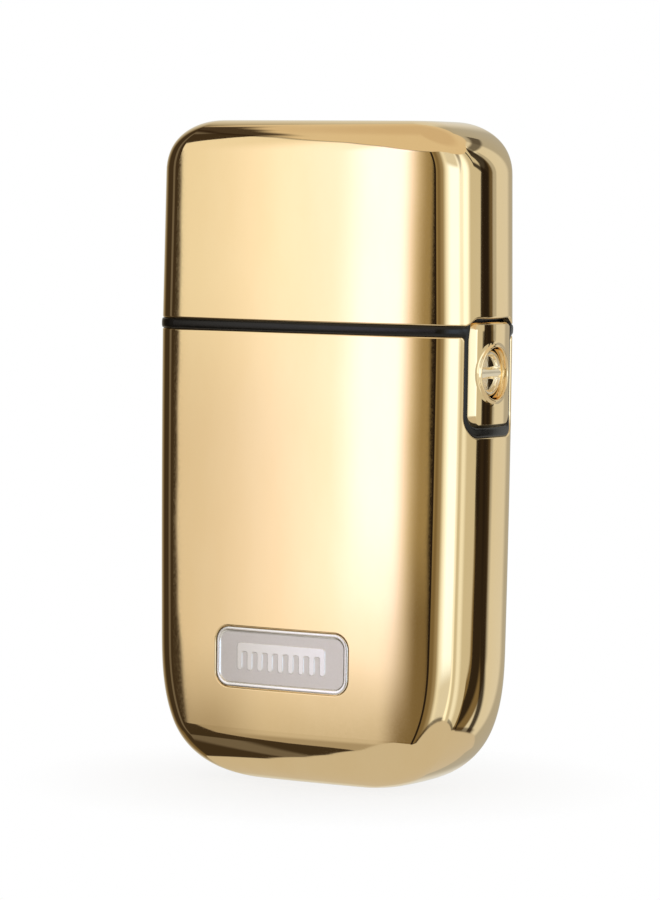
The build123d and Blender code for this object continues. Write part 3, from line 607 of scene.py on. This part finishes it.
def cap_skin():
    skin = Skin()
    edge = point(U, cap_rim(U))
    out = unit(-left_of(np.gradient(edge, axis=0)))
    first, wall = roll(skin, form, form_normal, edge, out, EDGE_R, CAP_WALL - 0.15, closed=False)
    start = edge - out * EDGE_R
    rows = [first]
    for t in join(np.linspace(0, 0.72, 34)[1:], np.linspace(0.72, 1, 32)[1:]):
        fade = max(0.0, 1 - t / 0.08)
        q = point(U + (start[:, 0] - U) * fade, start[:, 1] + (CROWN_TOP - start[:, 1]) * t)
        rows.append(skin.add(form(q), form_normal(q)))
    skin.quads(rows)
    fill(skin, flat_at(HEIGHT), up, [form(q)[:-1, :2]])
    hollow, hollow_normal = hollow_form(CAP_WALL)
    low = (cap_rim(U) + 0.1 - CAP_WALL) * HEIGHT / (HEIGHT - 2 * CAP_WALL)
    inner = []
    for t in join(np.linspace(0, 0.74, 16), np.linspace(0.78, 1, 16)):
        q = point(U, low + (CROWN_TOP - low) * t)
        inner.append(skin.add(hollow(q), hollow_normal(q)))
    skin.quads(inner)
    skin.quads([wall, skin.add(hollow(point(U, low)), np.array([0.0, 0.0, -1.0]))])
    fill(skin, flat_at(HEIGHT - CAP_WALL), down, [hollow(q)[:-1, :2]])
    return skin.make("cap_plated", GOLD)


# ---- seal, switch panel, button and nameplate ----
def seal():
    """The glossy black bead between cap and body, which turns down round the switch panel."""
    skin = Skin()
    inner_u, inner_r, lead_u, deep = PANEL_HALF_Y + 0.02, PANEL_CORNER + 0.02, 8.6, 1.4
    corner_z = TRIM_LOW - NOTCH_TOP_R
    half = U[U >= WINDOW_U]
    span = np.linspace(0, 1, 9)[1:]
    lead = [point(WINDOW_U + (end - WINDOW_U) * span, z)
            for end, z in ((NOTCH_HALF + NOTCH_TOP_R, TRIM_LOW), (lead_u, TRIM_TOP))]
    # round the notch's top corner: the inner edge runs up the cap's curve and down the panel's side
    turns = np.linspace(0, RIGHT_ANGLE, 13)[1:]
    rise_u = np.linspace(lead_u, inner_u, 7)[1:]
    drop = np.linspace(cap_rim(PANEL_HALF_Y), corner_z, 7)[1:]
    bend = [point(NOTCH_HALF + NOTCH_TOP_R - NOTCH_TOP_R * np.sin(turns), corner_z + NOTCH_TOP_R * np.cos(turns)),
            join(point(rise_u, cap_rim(rise_u)), point(inner_u, drop))]
    centre = np.array([PANEL_HALF_Y - PANEL_CORNER, PANEL_LOW + PANEL_CORNER])
    straight = np.linspace(corner_z, centre[1], 24)[1:]
    leg = [point(side, straight) for side in (NOTCH_HALF, inner_u)]
    turns = np.linspace(0, RIGHT_ANGLE, 15)[1:]
    arm = [centre + r * point(np.cos(turns), -np.sin(turns)) for r in (NOTCH_CORNER, inner_r)]
    sill = [point(np.linspace(centre[0], 0, 9)[1:], centre[1] - r) for r in (NOTCH_CORNER, inner_r)]
    # how far each point lies on an upright leg, where the bead sinks beside the panel's broken edge
    legness = [np.zeros(half.size + 8), np.linspace(0, 1, 12), np.ones(23), np.cos(turns) ** 1.5, np.zeros(8)]
    legness = np.concatenate(legness)
    legness = join(legness, legness[:-1][::-1])[:, None]
    runs = []
    for k, z in enumerate((TRIM_LOW, TRIM_TOP)):
        run = join(point(half, z)[::-1], lead[k], bend[k], leg[k], arm[k], sill[k])
        runs.append(join(run, (run[:-1] * (-1, 1))[::-1]))
    outer, inner = runs
    across = unit(form(inner) - form(outer))
    # the first and last rows are the bead's sides, a depth under the form; the others cross its crown
    stations = (0.0, 0.0, 0.03, 0.08, 0.16, 0.3, 0.5, 0.7, 0.84, 0.92, 0.97, 1.0, 1.0)
    last = len(stations) - 1
    rows, back = [], []
    for k, t in enumerate(stations):
        off = abs(2 * t - 1)
        q = outer * (1 - t) + inner * t
        n = form_normal(q)
        proud = TRIM_PROUD * 0.6 * (1 - off**4) ** 0.8
        rise = -deep if k in (0, last) else proud - legness * 0.5 * (1.0 + t * (q[:, :1] > 0))
        lean = {0: -40.0, last: 40.0}.get(k, 1.35 * off**3 * math.copysign(1.0, 2 * t - 1))
        points = form(q) + n * (rise - 0.02)
        rows.append(skin.add(points, n + across * lean))
        if k in (0, last):
            back.append(skin.add(points, -n))
    skin.quads(rows)
    skin.quads(back)
    return skin.make("seal_bead", GLOSS_BLACK)


def panel_face(q):
    """The switch panel's outer face at q = (u, v), a little more crowned than the body."""
    return form(q) - form_normal(q) * 0.0050 * q[..., :1] ** 2


def panel_normal(q):
    return normal(panel_face, q)


def round_x(turns, radius, x):
    """A circle about the button's axis."""
    return point(x, radius * np.cos(turns), BUTTON_Z + radius * np.sin(turns))


def lathe_x(skin, turns, profile):
    """Turns a profile of (radius, x) about the button's axis. Normals follow the profile."""
    rows = []
    for (r, x), (dr, dx) in zip(profile, unit(np.gradient(np.array(profile), axis=0))):
        rows.append(skin.add(round_x(turns, r, x), point(-dr, dx * np.cos(turns), dx * np.sin(turns))))
    skin.loops(*rows)


def fine(points):
    """A smooth curve through points, by Catmull-Rom segments of three steps each."""
    p = np.asarray(points, float)
    p = join(2 * p[:1] - p[1:2], p, 2 * p[-1:] - p[-2:-1])
    t = np.linspace(0, 1, 3, endpoint=False)[:, None]
    runs = []
    for a, b, c, d in zip(p, p[1:], p[2:], p[3:]):
        runs.append(0.5 * (2 * b + (c - a) * t + (2 * a - 5 * b + 4 * c - d) * t**2 + (3 * b - a - 3 * c + d) * t**3))
    return join(*runs, p[-2:-1])


def panel():
    """The plated switch panel with rolled edges and the flared ring round its button."""
    skin = Skin()
    half, low, r, short = PANEL_HALF_Y - 0.06, PANEL_LOW + 0.06, PANEL_CORNER, 0.25
    top_u = np.linspace(half - short, short - half, 41)
    top = point(top_u, cap_rim(top_u) - 0.62)
    corners = [(-half, top[-1, 1] - short), (-half, low), (half, low), (half, top[0, 1] - short)]
    path, _ = rounded(corners, [0, r, r, 0], 0.45, 13, closed=False)
    loop = join(path, top)
    out = -left_of(unit(np.roll(loop, -1, axis=0) - np.roll(loop, 1, axis=0)))
    # the edge is broken wider on the front side
    soft = 0.36 + 0.94 * np.maximum(0.0, out[:, :1]) ** 1.5
    bevel = fine([(0.0, 0.0), (0.05, 0.01), (0.15, 0.09), (0.45, 0.40), (0.78, 0.74), (0.92, 0.90), (1.0, 1.0)])
    rows = []
    for (across, depth), (run, fall) in zip(bevel, unit(np.gradient(bevel, axis=0))):
        q = loop - out * soft * (1 - across)
        n = panel_normal(q)
        t = square_to(n, slope(panel_face, q, out))
        rows.append(skin.add(panel_face(q) - n * soft * 0.9 * depth, n * run + t * fall))
    back = sunk(panel_face, panel_normal, 1.9)
    rows.append(skin.add(back(loop), t))
    skin.loops(*rows)
    # the flared ring: height over the face by radius
    shape = fine([(5.45, 0.0), (5.2, 0.012), (4.98, 0.07), (4.78, 0.19), (4.64, 0.32), (4.52, 0.40), (4.40, 0.43),
                  (4.28, 0.38), (4.19, 0.25), (4.10, 0.0), (4.02, -0.4), (3.93, -0.9), (3.9, -1.6)])
    turns = np.linspace(0, 2 * math.pi, 96, endpoint=False)
    circles = [round_x(turns, radius, 0.0)[:, 1:] for radius, _ in shape]
    raised = [panel_face(q) + (rise, 0.0, 0.0) for q, (_, rise) in zip(circles, shape)]
    grid = point(*np.meshgrid(np.linspace(-5.6, 5.6, 23), np.linspace(60.2, 76.4, 33))).reshape(-1, 2)
    fill(skin, panel_face, panel_normal, [loop - out * soft, circles[0]], grid)
    rows = []
    for k, p in enumerate(raised):
        lengthwise = raised[min(k + 1, len(shape) - 1)] - raised[max(k - 1, 0)]
        around = np.roll(p, -1, axis=0) - np.roll(p, 1, axis=0)
        n = panel_normal(circles[0]) if k == 0 else unit(np.cross(lengthwise, around))
        rows.append(skin.add(p, n))
    rows.append(skin.add(back(circles[-1]), n))
    skin.loops(*rows)
    fill(skin, back, lambda q: -panel_normal(q), [loop, circles[-1]])
    return skin.make("switch_panel_plated", GOLD)


def button():
    """The push button: a rounded rim, two hatched hollows and the thumb bar between them."""
    skin = Skin()
    radius, flat_r, hollow_r, rim_r, top_x, flange_x, flange_r = 3.72, 3.3, 3.12, 0.42, 29.25, 27.3, 4.5
    radii = join(np.linspace(0, flat_r, 46), np.linspace(flat_r, radius, 14)[1:])
    turns = np.linspace(0, 2 * math.pi, 192, endpoint=False)

    def face(y, z):
        r = np.hypot(y, z)
        bar = 0.50 + 0.30 * (np.abs(y) / 3.0) ** 2
        t = np.clip(np.minimum(hollow_r - r, np.abs(z) - bar) / 0.42, 0, 1)
        dish = t * t * (3 - 2 * t)
        hatch = np.sin((0.9 * y + np.abs(z) * 0.3) * 2 * math.pi / 0.42) * np.clip(0.6 - y, 0, 1)
        floor = 0.80 - 0.08 * np.sqrt((y - 0.2) ** 2 + 0.25)
        rim = np.clip((r - flat_r) / (radius - flat_r), 0, 1)
        crown = 0.12 * (1 - (np.clip(z, -0.6, 0.6) / 0.6) ** 2) * (r < 3.2)
        drop = rim_r * (1 - np.sqrt(np.maximum(1 - rim**2, 0.0)))
        return top_x + crown * (1 - dish) - dish * floor + 0.007 * hatch * dish - drop

    y, z = radii[:, None] * np.cos(turns), radii[:, None] * np.sin(turns)
    step = 0.02
    dy = (face(y + step, z) - face(y - step, z)) / (2 * step)
    dz = (face(y, z + step) - face(y, z - step)) / (2 * step)
    normals = unit(point(1.0, -dy, -dz))
    normals[-1] = point(0.3, np.cos(turns), np.sin(turns))
    skin.loops(*skin.add(point(face(y, z), y, BUTTON_Z + z), normals))
    lathe_x(skin, turns, [(radius, x) for x in (top_x - rim_r, 28.3, 27.7, flange_x)])
    lathe_x(skin, turns, [(radius, flange_x), (flange_r - 0.05, flange_x), (flange_r, flange_x - 0.05),
                          (flange_r, flange_x - 0.45), (flange_r - 0.05, flange_x - 0.5), (0.0, flange_x - 0.5)])
    return skin.make("power_button_plated", PALE_GOLD)


def comb():
    """The comb emblem's outline in (x, z), a back and nine teeth, and the directions into it."""
    x0, top, gum, tip = PLATE_X - 8.5, PLATE_Z + 2.45, PLATE_Z + 0.95, PLATE_Z - 2.1
    corners, radii = [(x0, top)], [0.6]
    for x in x0 + 2.0 * np.arange(9):
        corners += [(x, tip), (x + 1.0, tip), (x + 1.0, gum), (x + 2.0, gum)]
        radii += [0.45, 0.45, 0.3, 0.3]
    return rounded([*corners[:-2], (x0 + 17.0, top)], [*radii[:-2], 0.6], 0.5, 7)


def plate():
    """The nameplate in three pieces: a polished rim round a satin field with the emblem on it."""
    rim, field, emblem = Skin(), Skin(), Skin()
    rim_w, field_deep, emblem_deep, back = 0.90, 0.26, 0.12, 0.68
    under = lambda depth: sunk(front, front_normal, depth)
    behind = lambda q: -front_normal(q)
    outline, into = plate_outline(0.06)
    border = outline + into * rim_w
    shape = [(0.0, -back), (0.0, -0.42), (0.02, -0.24), (0.06, -0.12), (0.12, -0.05), (0.22, -0.01), (0.36, 0.0),
             (0.58, -0.01), (0.70, -0.04), (0.78, -0.11), (0.82, -0.20), (rim_w, -field_deep), (rim_w, -back)]
    rows = []
    for (inset, height_over), (across, rise) in zip(shape, unit(np.gradient(np.array(shape), axis=0))):
        q = outline + into * inset
        n, t = front_normal(q), slope(front, q, into)
        rows.append(rim.add(front(q) + n * height_over, n * across - t * rise))
    rim.loops(*rows)
    fill(rim, under(back), behind, [outline, border])
    faces = under(field_deep), under(back - 0.02)
    for surface, turned in zip(faces, (front_normal, behind)):
        fill(field, surface, turned, [border])
    field.loops(*(field.add(surface(border), slope(front, border, -into)) for surface in faces))
    edge, into = comb()
    round_r, thick = 0.1, 0.16
    raised = under(emblem_deep)
    roll(emblem, raised, front_normal, edge, -into, round_r, thick)
    fill(emblem, raised, front_normal, [edge + into * round_r])
    fill(emblem, sunk(raised, front_normal, thick), behind, [edge])
    return [rim.make("nameplate_rim", PLATE_RIM), field.make("nameplate_field", PLATE_FIELD),
            emblem.make("nameplate_emblem", PLATE_RIM)]


stand_for(body_skin(), "body", "body_shell")
stand_for(cap_skin(), "cap", "cap")
stand_for(seal(), "body", "trim_band")
stand_for(panel(), "body", "switch_panel")
stand_for(button(), "power_button", "power_button")
for piece in plate():
    stand_for(piece, "body", "nameplate")

# ---- foils and head ----
FOIL_Y, FOIL_R, FOIL_T, FOIL_HALF_X, FOIL_AXIS_Z, FOIL_LEG_LOW = 4.3, 3.6, 0.15, 20.0, 97.4, 91.9
HOLE_PITCH, HOLE_R = 0.84, 0.27


def foil_sheet(side):
    """The arched shaving foil: a thin sheet with a field of staggered round holes over its crown."""
    leg = FOIL_AXIS_Z - FOIL_LEG_LOW
    run = math.pi * FOIL_R + 2 * leg

    def arch(q):
        s = q[..., 1]
        turn = np.clip((s - leg) / FOIL_R, 0.0, math.pi)
        y = -FOIL_R * np.cos(turn)
        z = FOIL_AXIS_Z + FOIL_R * np.sin(turn) - np.maximum(leg - s, 0) - np.maximum(s - run + leg, 0)
        return point(q[..., 0], side * FOIL_Y + y, z)

    def turned(q):
        turn = np.clip((q[..., 1] - leg) / FOIL_R, 0.0, math.pi)
        return point(0.0, -np.cos(turn), np.sin(turn))

    skin = Skin()

    def both(q, sink=0.0):
        """Point numbers of the sheet's two faces at q."""
        n = turned(q)
        return skin.add(arch(q) - n * sink, n), skin.add(arch(q) - n * (FOIL_T - sink), -n)

    def walls(edge, out, sink=0.0):
        """Two rows of point numbers down the sheet's thickness."""
        n = turned(edge)
        return skin.add(arch(edge) - n * sink, out), skin.add(arch(edge) - n * (FOIL_T - sink), out)

    rise, corner = HOLE_PITCH * math.sqrt(3) / 2, HOLE_PITCH / math.sqrt(3)
    columns_x, rows_s = 44, 2 * int(0.5 * (math.pi * FOIL_R + 3.0) / rise)
    start, half_field = run / 2 - rise * rows_s / 2, columns_x / 2 * HOLE_PITCH
    cell = corner * np.array([(math.cos(a), math.sin(a)) for a in np.radians(np.arange(30, 390, 60))])
    hole = HOLE_R * np.array([(math.cos(a), math.sin(a)) for a in np.radians(np.arange(0, 360, 30))])
    for j in range(rows_s + 1):
        s = start + j * rise
        for i in range(columns_x - j % 2):
            mid = np.array([(i + 0.5 * (j % 2 + 1)) * HOLE_PITCH - half_field, s])
            skin.loops(*walls(mid + hole, arch(mid) - arch(mid + hole)))
            for outer, lip in zip(both(mid + cell), both(mid + hole)):
                for k in range(6):
                    a, b = outer[k], outer[(k + 1) % 6]
                    c, d, e = lip[2 * k + 1], lip[(2 * k + 2) % 12], lip[(2 * k + 3) % 12]
                    skin.faces += [[a, c, d], [a, d, b], [b, d, e]]
        if j % 2:
            for way in (-1, 1):
                ends = [(0.0, -corner), (HOLE_PITCH / 2, -corner / 2), (HOLE_PITCH / 2, corner / 2), (0.0, corner)]
                faces = both(np.array([(way * (half_field - x), s + y) for x, y in ends]))
                skin.faces += [face.tolist() for face in faces]
    # plain margins round the field
    low_s, high_s = start - corner / 2, start + rows_s * rise + corner / 2
    end = FOIL_HALF_X
    margins = [(-end, end, 0.0, low_s, 0.02), (-end, end, high_s, run, 0.02),
               (-end, -half_field, low_s, high_s, 0.0), (half_field, end, low_s, high_s, 0.0)]
    for x0, x1, s0, s1, sink in margins:
        grid = point(*np.meshgrid(np.linspace(x0, x1, 9), np.linspace(s0, s1, 25)))
        for face in both(grid, sink):
            skin.quads(face)
        for lines in (grid, grid[::-1], grid.swapaxes(0, 1), grid.swapaxes(0, 1)[::-1]):
            skin.quads(walls(lines[0], arch(lines[0]) - arch(lines[1]), sink))
    return skin.make("foil_mesh_front" if side < 0 else "foil_mesh_rear", FOIL)


def softened(node, width):
    """A copy of a CAD node with its hard edges broken by a small round."""
    mesh = bpy.data.objects[node].data.copy()
    bm = bmesh.new()
    bm.from_mesh(mesh)
    bmesh.ops.remove_doubles(bm, verts=bm.verts, dist=2e-6)
    bmesh.ops.dissolve_limit(bm, angle_limit=math.radians(1.0), verts=bm.verts, edges=bm.edges)
    bm.to_mesh(mesh)
    bm.free()
    for polygon in mesh.polygons:
        polygon.use_smooth = True
    piece = put(node + "_moulded", mesh, SATIN_BLACK)
    bevel = piece.modifiers.new("edges", "BEVEL")
    bevel.width, bevel.segments = width * MM, 2
    bevel.limit_method, bevel.angle_limit = "ANGLE", math.radians(35.0)
    bevel.harden_normals = bevel.use_clamp_overlap = True
    return piece


stand_for(foil_sheet(-1), "foil_front", "foil_front")
stand_for(foil_sheet(1), "foil_rear", "foil_rear")
SOFTENED = [  # node, body, width of the broken edge
    ("head_base", "body", 0.25), ("cassette_frame", "body", 0.22),
    ("foil_frame_front", "foil_front", 0.18), ("foil_frame_rear", "foil_rear", 0.18),
    ("release_button_left", "release_left", 0.25), ("release_button_right", "release_right", 0.25),
]
for node, body, width in SOFTENED:
    stand_for(softened(node, width), body, node)

# Springs, each copied as a plain coil where it stands: node, its two bodies, the two ends in mm.
SPRING_LOW, SPRING_TOP, SPRING_IN, SPRING_OUT, RELEASE_Z = 80.2, 86.6, 17.0, 20.35, 80.2
SPRINGS = [
    ("cutter_spring_front", "bridge", "cutter_front", (0, -FOIL_Y, SPRING_LOW), (0, -FOIL_Y, SPRING_TOP)),
    ("cutter_spring_rear", "bridge", "cutter_rear", (0, FOIL_Y, SPRING_LOW), (0, FOIL_Y, SPRING_TOP)),
    ("release_spring_left", "body", "release_left", (-SPRING_IN, 0, RELEASE_Z), (-SPRING_OUT, 0, RELEASE_Z)),
    ("release_spring_right", "body", "release_right", (SPRING_IN, 0, RELEASE_Z), (SPRING_OUT, 0, RELEASE_Z)),
]
for node, held, moving, start, end in SPRINGS:
    coil = put(node + "_coil", bpy.data.objects[node].data.copy(), STEEL)
    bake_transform(coil)
    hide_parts(node)

# ---- the parts that keep their CAD shape take the finish of their record slot ----
for entry in frame["record"]["subparts"]:
    part = bpy.data.objects.get(entry["node"])
    if part is not None and part.type == "MESH":
        part.data.materials.clear()
        part.data.materials.append(FINISHES[entry["material_slot"]])

# ---- camera, light and floor ----
AZIMUTH, PITCH, ROLL = math.radians(31.13), math.radians(3.53), math.radians(0.729)
FOCAL_PX, LONG_SIDE_PX = 4221.8, 900.0
SCALE_PX_PER_MM, SHIFT_X_PX, SHIFT_Y_PX, SENSOR = 6.082, -4.0, 2.1, 36.0

ROOM_DARK, CARD_DARK, CREASE_DARK = (0.20, 0.15, 0.075), (0.020, 0.014, 0.010), (0.030, 0.018, 0.010)
WALL_EDGE_DARK, WALL_CORE, FLOOR_LIGHT = (0.050, 0.036, 0.022), (0.60, 0.55, 0.48), (0.60, 0.565, 0.50)
CEILING_LIGHT, ZENITH_LIGHT = (0.72, 0.63, 0.49), (0.62, 0.51, 0.38)
ALL = (-91.0, 0.1, 91.0, 0.1)
# Soft boxes: azimuth from, its softness, to, its softness; the same for elevation; colour; lean. Angles in degrees.
SOFT_BOXES = [
    ((-70, 1, -17.3, 1.8), (-6.8, 1.6, 91, 0.1), (0.36, 0.35, 0.35), 0.12),
    ((-70, 1, -19.4, 3.2), (-40, 1, 91, 0.1), (0.20, 0.20, 0.20), 0.12),
    ((-33.5, 26, -18.4, 2.2), (-6.2, 2.6, 91, 0.1), (0.56, 0.57, 0.78), 0.12),
    ((-25, 5, -18.8, 2.2), (-5.4, 3.4, 91, 0.1), (0.25, 0.25, 0.62), 0.12),
    ((-37, 8, -19.2, 3), (-15, 6, -6.2, 2.6), (0.20, 0.20, 0.20), 0.12),
    ((-60, 1, -31, 8), (-2.2, 2.6, 91, 0.1), (0.12, 0.145, 0.13), 0.12),
    ((-20, 3, -6, 10), (-5.2, 1.4, 91, 0.1), (0.14, 0.12, 0.07), 0),
    ((6, 12, 31, 14), ALL, (0.12, 0.12, 0.10), 0),
    ((19, 14, 72, 8), ALL, (0.53, 0.60, 0.66), 0),
    ((31, 22, 67, 10), (-9, 6, 11, 8), (0.55, 0.75, 1.10), 0),
    ((72, 6, 137, 2), ALL, (0.42, 0.46, 0.46), 0.45),
    ((84, 10, 100, 16), ALL, (0.30, 0.36, 0.44), 0),
    ((66, 8, 108, 14), (-1.6, 1.6, 30, 40), (0.40, 0.50, 0.66), 0),
    ((148, 2, 181, 0.1), ALL, (0.52, 0.57, 0.60), 0),
    ((-181, 0.1, -126, 50), ALL, (0.52, 0.57, 0.60), 0),
]
# Edges of the room as (azimuth, elevation), and of the dark wall on the left as (elevation, azimuth).
CEILING_EDGE = [(-180, 46), (-82, 51), (-59, 46), (-47, 41), (-30, 28), (-23, 17), (-17.5, 2), (-12, 4), (20, 22),
                (45, 30), (72, 34), (110, 36), (150, 38), (180, 38)]
FLOOR_EDGE = [(-180, -30), (-100, -46), (-78, -50.7), (-61, -50.5), (-45, -44.5), (-36, -38), (-26, -25.5),
              (-20, -9), (-17, -10.5), (-10, -14.5), (3, -17.5), (60, -26), (118, -34), (165, -27), (180, -27)]
LEFT_WALL_EDGE = [(-90, -26), (-26, -28), (-24, -35), (-20.5, -40), (-17, -43), (-8, -44.1), (-6.3, -46.5),
                  (-3.6, -47), (-1.6, -46.75), (0, -46.72), (33, -51), (44, -54), (90, -60)]
# Dark cards: spans as above, depth, lean. Creases: the edge they follow, span round it, span across it, depth.
DARK_CARDS = [
    ((136.4, 1, 144.4, 3), ALL, 0.94, 0.15),
    ((139, 2, 144.6, 3.6), ALL, 0.94, -0.50),
    ((134.3, 1, 138, 2), (-5.4, 1.6, -1.6, 1.5), 0.94, 0),
    ((144, 4, 152, 1.4), (-2.8, 2.4, 30, 6), 0.36, 0),
    ((146, 2, 150.2, 3), (-8, 2, -1.8, 2.4), 0.45, 0),
    ((-16, 0.4, -9, 2.4), ALL, 1, 0),
    ((167, 5, 181, 0.1), (-91, 0.1, 60, 20), 0.38, 0),
    ((-181, 0.1, -160, 12), (-91, 0.1, 60, 20), 0.38, 0),
]
CREASES = [
    ("ceiling", (-110, 10, -52, 14), (-1.5, 2, 4.5, 2.5), 0.95),
    ("ceiling", (-56, 6, -16.5, 1), (-1.2, 1.4, 0.8, 1.2), 0.50),
    ("ceiling", (140, 4, 181, 0.1), (-7, 2, -2, 2), 0.80),
    ("floor", (-16, 2, 62, 14), (-0.4, 1, 1.6, 1.2), 0.75),
    ("floor", (84, 8, 160, 6), (-0.4, 1, 1.8, 1.2), 0.70),
]


def add_world():
    """A studio of soft boxes in a warm room. The camera itself sees plain white beyond the object."""
    world = bpy.data.worlds.new("studio")
    bpy.context.scene.world = world
    world.use_nodes = True
    world.node_tree.nodes.clear()
    graph = Graph(world.node_tree)

    def calc(operation, *values):
        return graph.add("Math", enumerate(values), operation=operation).outputs[0]

    def times(a, b):
        return calc("MULTIPLY", a, b)

    def less(a, b):
        return calc("SUBTRACT", a, b)

    def rise(value, start, width):
        inputs = {"Value": value, "From Min": start - width / 2, "From Max": start + width / 2}
        return graph.add("MapRange", inputs, interpolation_type="SMOOTHSTEP").outputs["Result"]

    def window(value, span):
        low, low_soft, high, high_soft = span
        return times(rise(value, low, low_soft), less(1.0, rise(value, high, high_soft)))

    def patch(around, above, lean):
        """A window in azimuth and elevation whose sides lean."""
        leaning = less(turn, times(lift, lean))
        return times(window(leaning, around), window(lift, above))

    def curve(value, points):
        """A curve through points in degrees, both ways from -180 to 180."""
        node = graph.add("FloatCurve", {"Value": calc("DIVIDE", calc("ADD", value, 180.0), 360.0)})
        line = node.mapping.curves[0]
        places = [((x + 180) / 360, (y + 180) / 360) for x, y in points]
        line.points[0].location, line.points[-1].location = places[0], places[-1]
        for place in places[1:-1]:
            line.points.new(*place)
        for spot in line.points:
            spot.handle_type = "VECTOR"
        node.mapping.update()
        return less(times(node.outputs["Value"], 360.0), 180.0)

    def blend(under, factor, over, kind="MIX"):
        inputs = {"Factor": factor, 6: under, 7: (*over, 1.0)}
        return graph.add("Mix", inputs, data_type="RGBA", blend_type=kind, clamp_factor=True).outputs[2]

    way = graph.add("SeparateXYZ", {0: graph.add("TexCoord").outputs["Generated"]}).outputs
    degree = 180 / math.pi
    turn = times(calc("ARCTAN2", way["X"], times(way["Y"], -1.0)), degree)
    lift = times(calc("ARCSINE", way["Z"]), degree)
    above_edge = {"ceiling": less(lift, curve(turn, CEILING_EDGE)),
                  "floor": less(lift, curve(turn, FLOOR_EDGE))}
    colour = (*ROOM_DARK, 1.0)
    for around, above, light, lean in SOFT_BOXES:
        colour = blend(colour, patch(around, above, lean), light, "ADD")
    for around, above, depth, lean in DARK_CARDS:
        colour = blend(colour, times(patch(around, above, lean), depth), CARD_DARK)
    beside = less(turn, curve(lift, LEFT_WALL_EDGE))
    colour = blend(colour, window(beside, (-58.0, 20.0, 0.0, 0.5)), WALL_EDGE_DARK)
    colour = blend(colour, times(window(beside, (-24.0, 4.0, -14.0, 4.0)), 0.20), WALL_CORE)
    colour = blend(colour, rise(above_edge["ceiling"], 0.0, 1.2), CEILING_LIGHT)
    colour = blend(colour, times(rise(lift, 56.0, 16.0), 0.8), ZENITH_LIGHT)
    colour = blend(colour, less(1.0, rise(above_edge["floor"], 0.0, 1.0)), FLOOR_LIGHT)
    for edge, around, across, depth in CREASES:
        factor = times(window(turn, around), window(above_edge[edge], across))
        colour = blend(colour, times(factor, depth), CREASE_DARK)
    studio, white = (graph.add("Background", {"Color": c}).outputs[0] for c in (colour, (1.0, 1.0, 1.0, 1.0)))
    direct = graph.add("LightPath").outputs["Is Camera Ray"]
    mixed = graph.add("MixShader", {"Fac": direct, 1: studio, 2: white}).outputs[0]
    graph.add("OutputWorld", {"Surface": mixed})


def add_floor():
    """A pale round floor that fades out, so that only the soft shadow under the base shows."""
    radius, rings, spokes, drop = 0.06, 10, 64, 0.0002
    bm = bmesh.new()
    rows = []
    for k in range(1, rings + 1):
        r = radius * k / rings
        rows.append([bm.verts.new((r * math.cos(a), r * math.sin(a), -drop))
                     for a in (2 * math.pi * i / spokes for i in range(spokes))])
    bm.faces.new(rows[0])
    for low, high in zip(rows, rows[1:]):
        for i in range(spokes):
            bm.faces.new((low[i], high[i], high[(i + 1) % spokes], low[(i + 1) % spokes]))
    mesh = bpy.data.meshes.new("floor")
    bm.to_mesh(mesh)
    bm.free()
    material, graph, sockets = shader("pale_floor")
    sockets["Roughness"].default_value = 0.9
    graph.set(sockets["Base Color"], ramp(graph, noise(graph, 40.0), [(0.3, 0.86), (0.7, 0.90)]))
    place = graph.add("TexCoord").outputs["Object"]
    away = graph.add("VectorMath", {0: place}, operation="LENGTH").outputs["Value"]
    clear, pale = graph.add("BsdfTransparent").outputs[0], graph.nodes["Principled BSDF"].outputs[0]
    faded = graph.add("MixShader", {"Fac": ramp(graph, away, [(0.012, 0.16), (0.052, 0.0)]), 1: clear, 2: pale})
    graph.set(graph.nodes["Material Output"].inputs["Surface"], faded.outputs[0])
    floor = put("floor", mesh, material)
    floor.visible_glossy = False


def add_camera():
    back = Vector((math.sin(AZIMUTH) * math.cos(PITCH), -math.cos(AZIMUTH) * math.cos(PITCH), math.sin(PITCH)))
    level_right = Vector((math.cos(AZIMUTH), math.sin(AZIMUTH), 0.0))
    level_up = back.cross(level_right)
    right = level_right * math.cos(ROLL) + level_up * math.sin(ROLL)
    upward = back.cross(right)
    data = bpy.data.cameras.new("camera")
    data.sensor_width = SENSOR
    data.lens = FOCAL_PX * SENSOR / LONG_SIDE_PX
    data.shift_x, data.shift_y = SHIFT_X_PX / LONG_SIDE_PX, SHIFT_Y_PX / LONG_SIDE_PX
    data.clip_start, data.clip_end = 0.01, 20.0
    camera = bpy.data.objects.new("camera", data)
    bpy.context.scene.collection.objects.link(camera)
    eye = Vector((0, 0, HEIGHT / 2 * MM)) + back * (FOCAL_PX / SCALE_PX_PER_MM * MM)
    camera.matrix_world = Matrix.Translation(eye) @ Matrix((right, upward, back)).transposed().to_4x4()
    bpy.context.scene.camera = camera


add_world()
add_floor()
add_camera()
bpy.context.scene.view_settings.view_transform = "Standard"
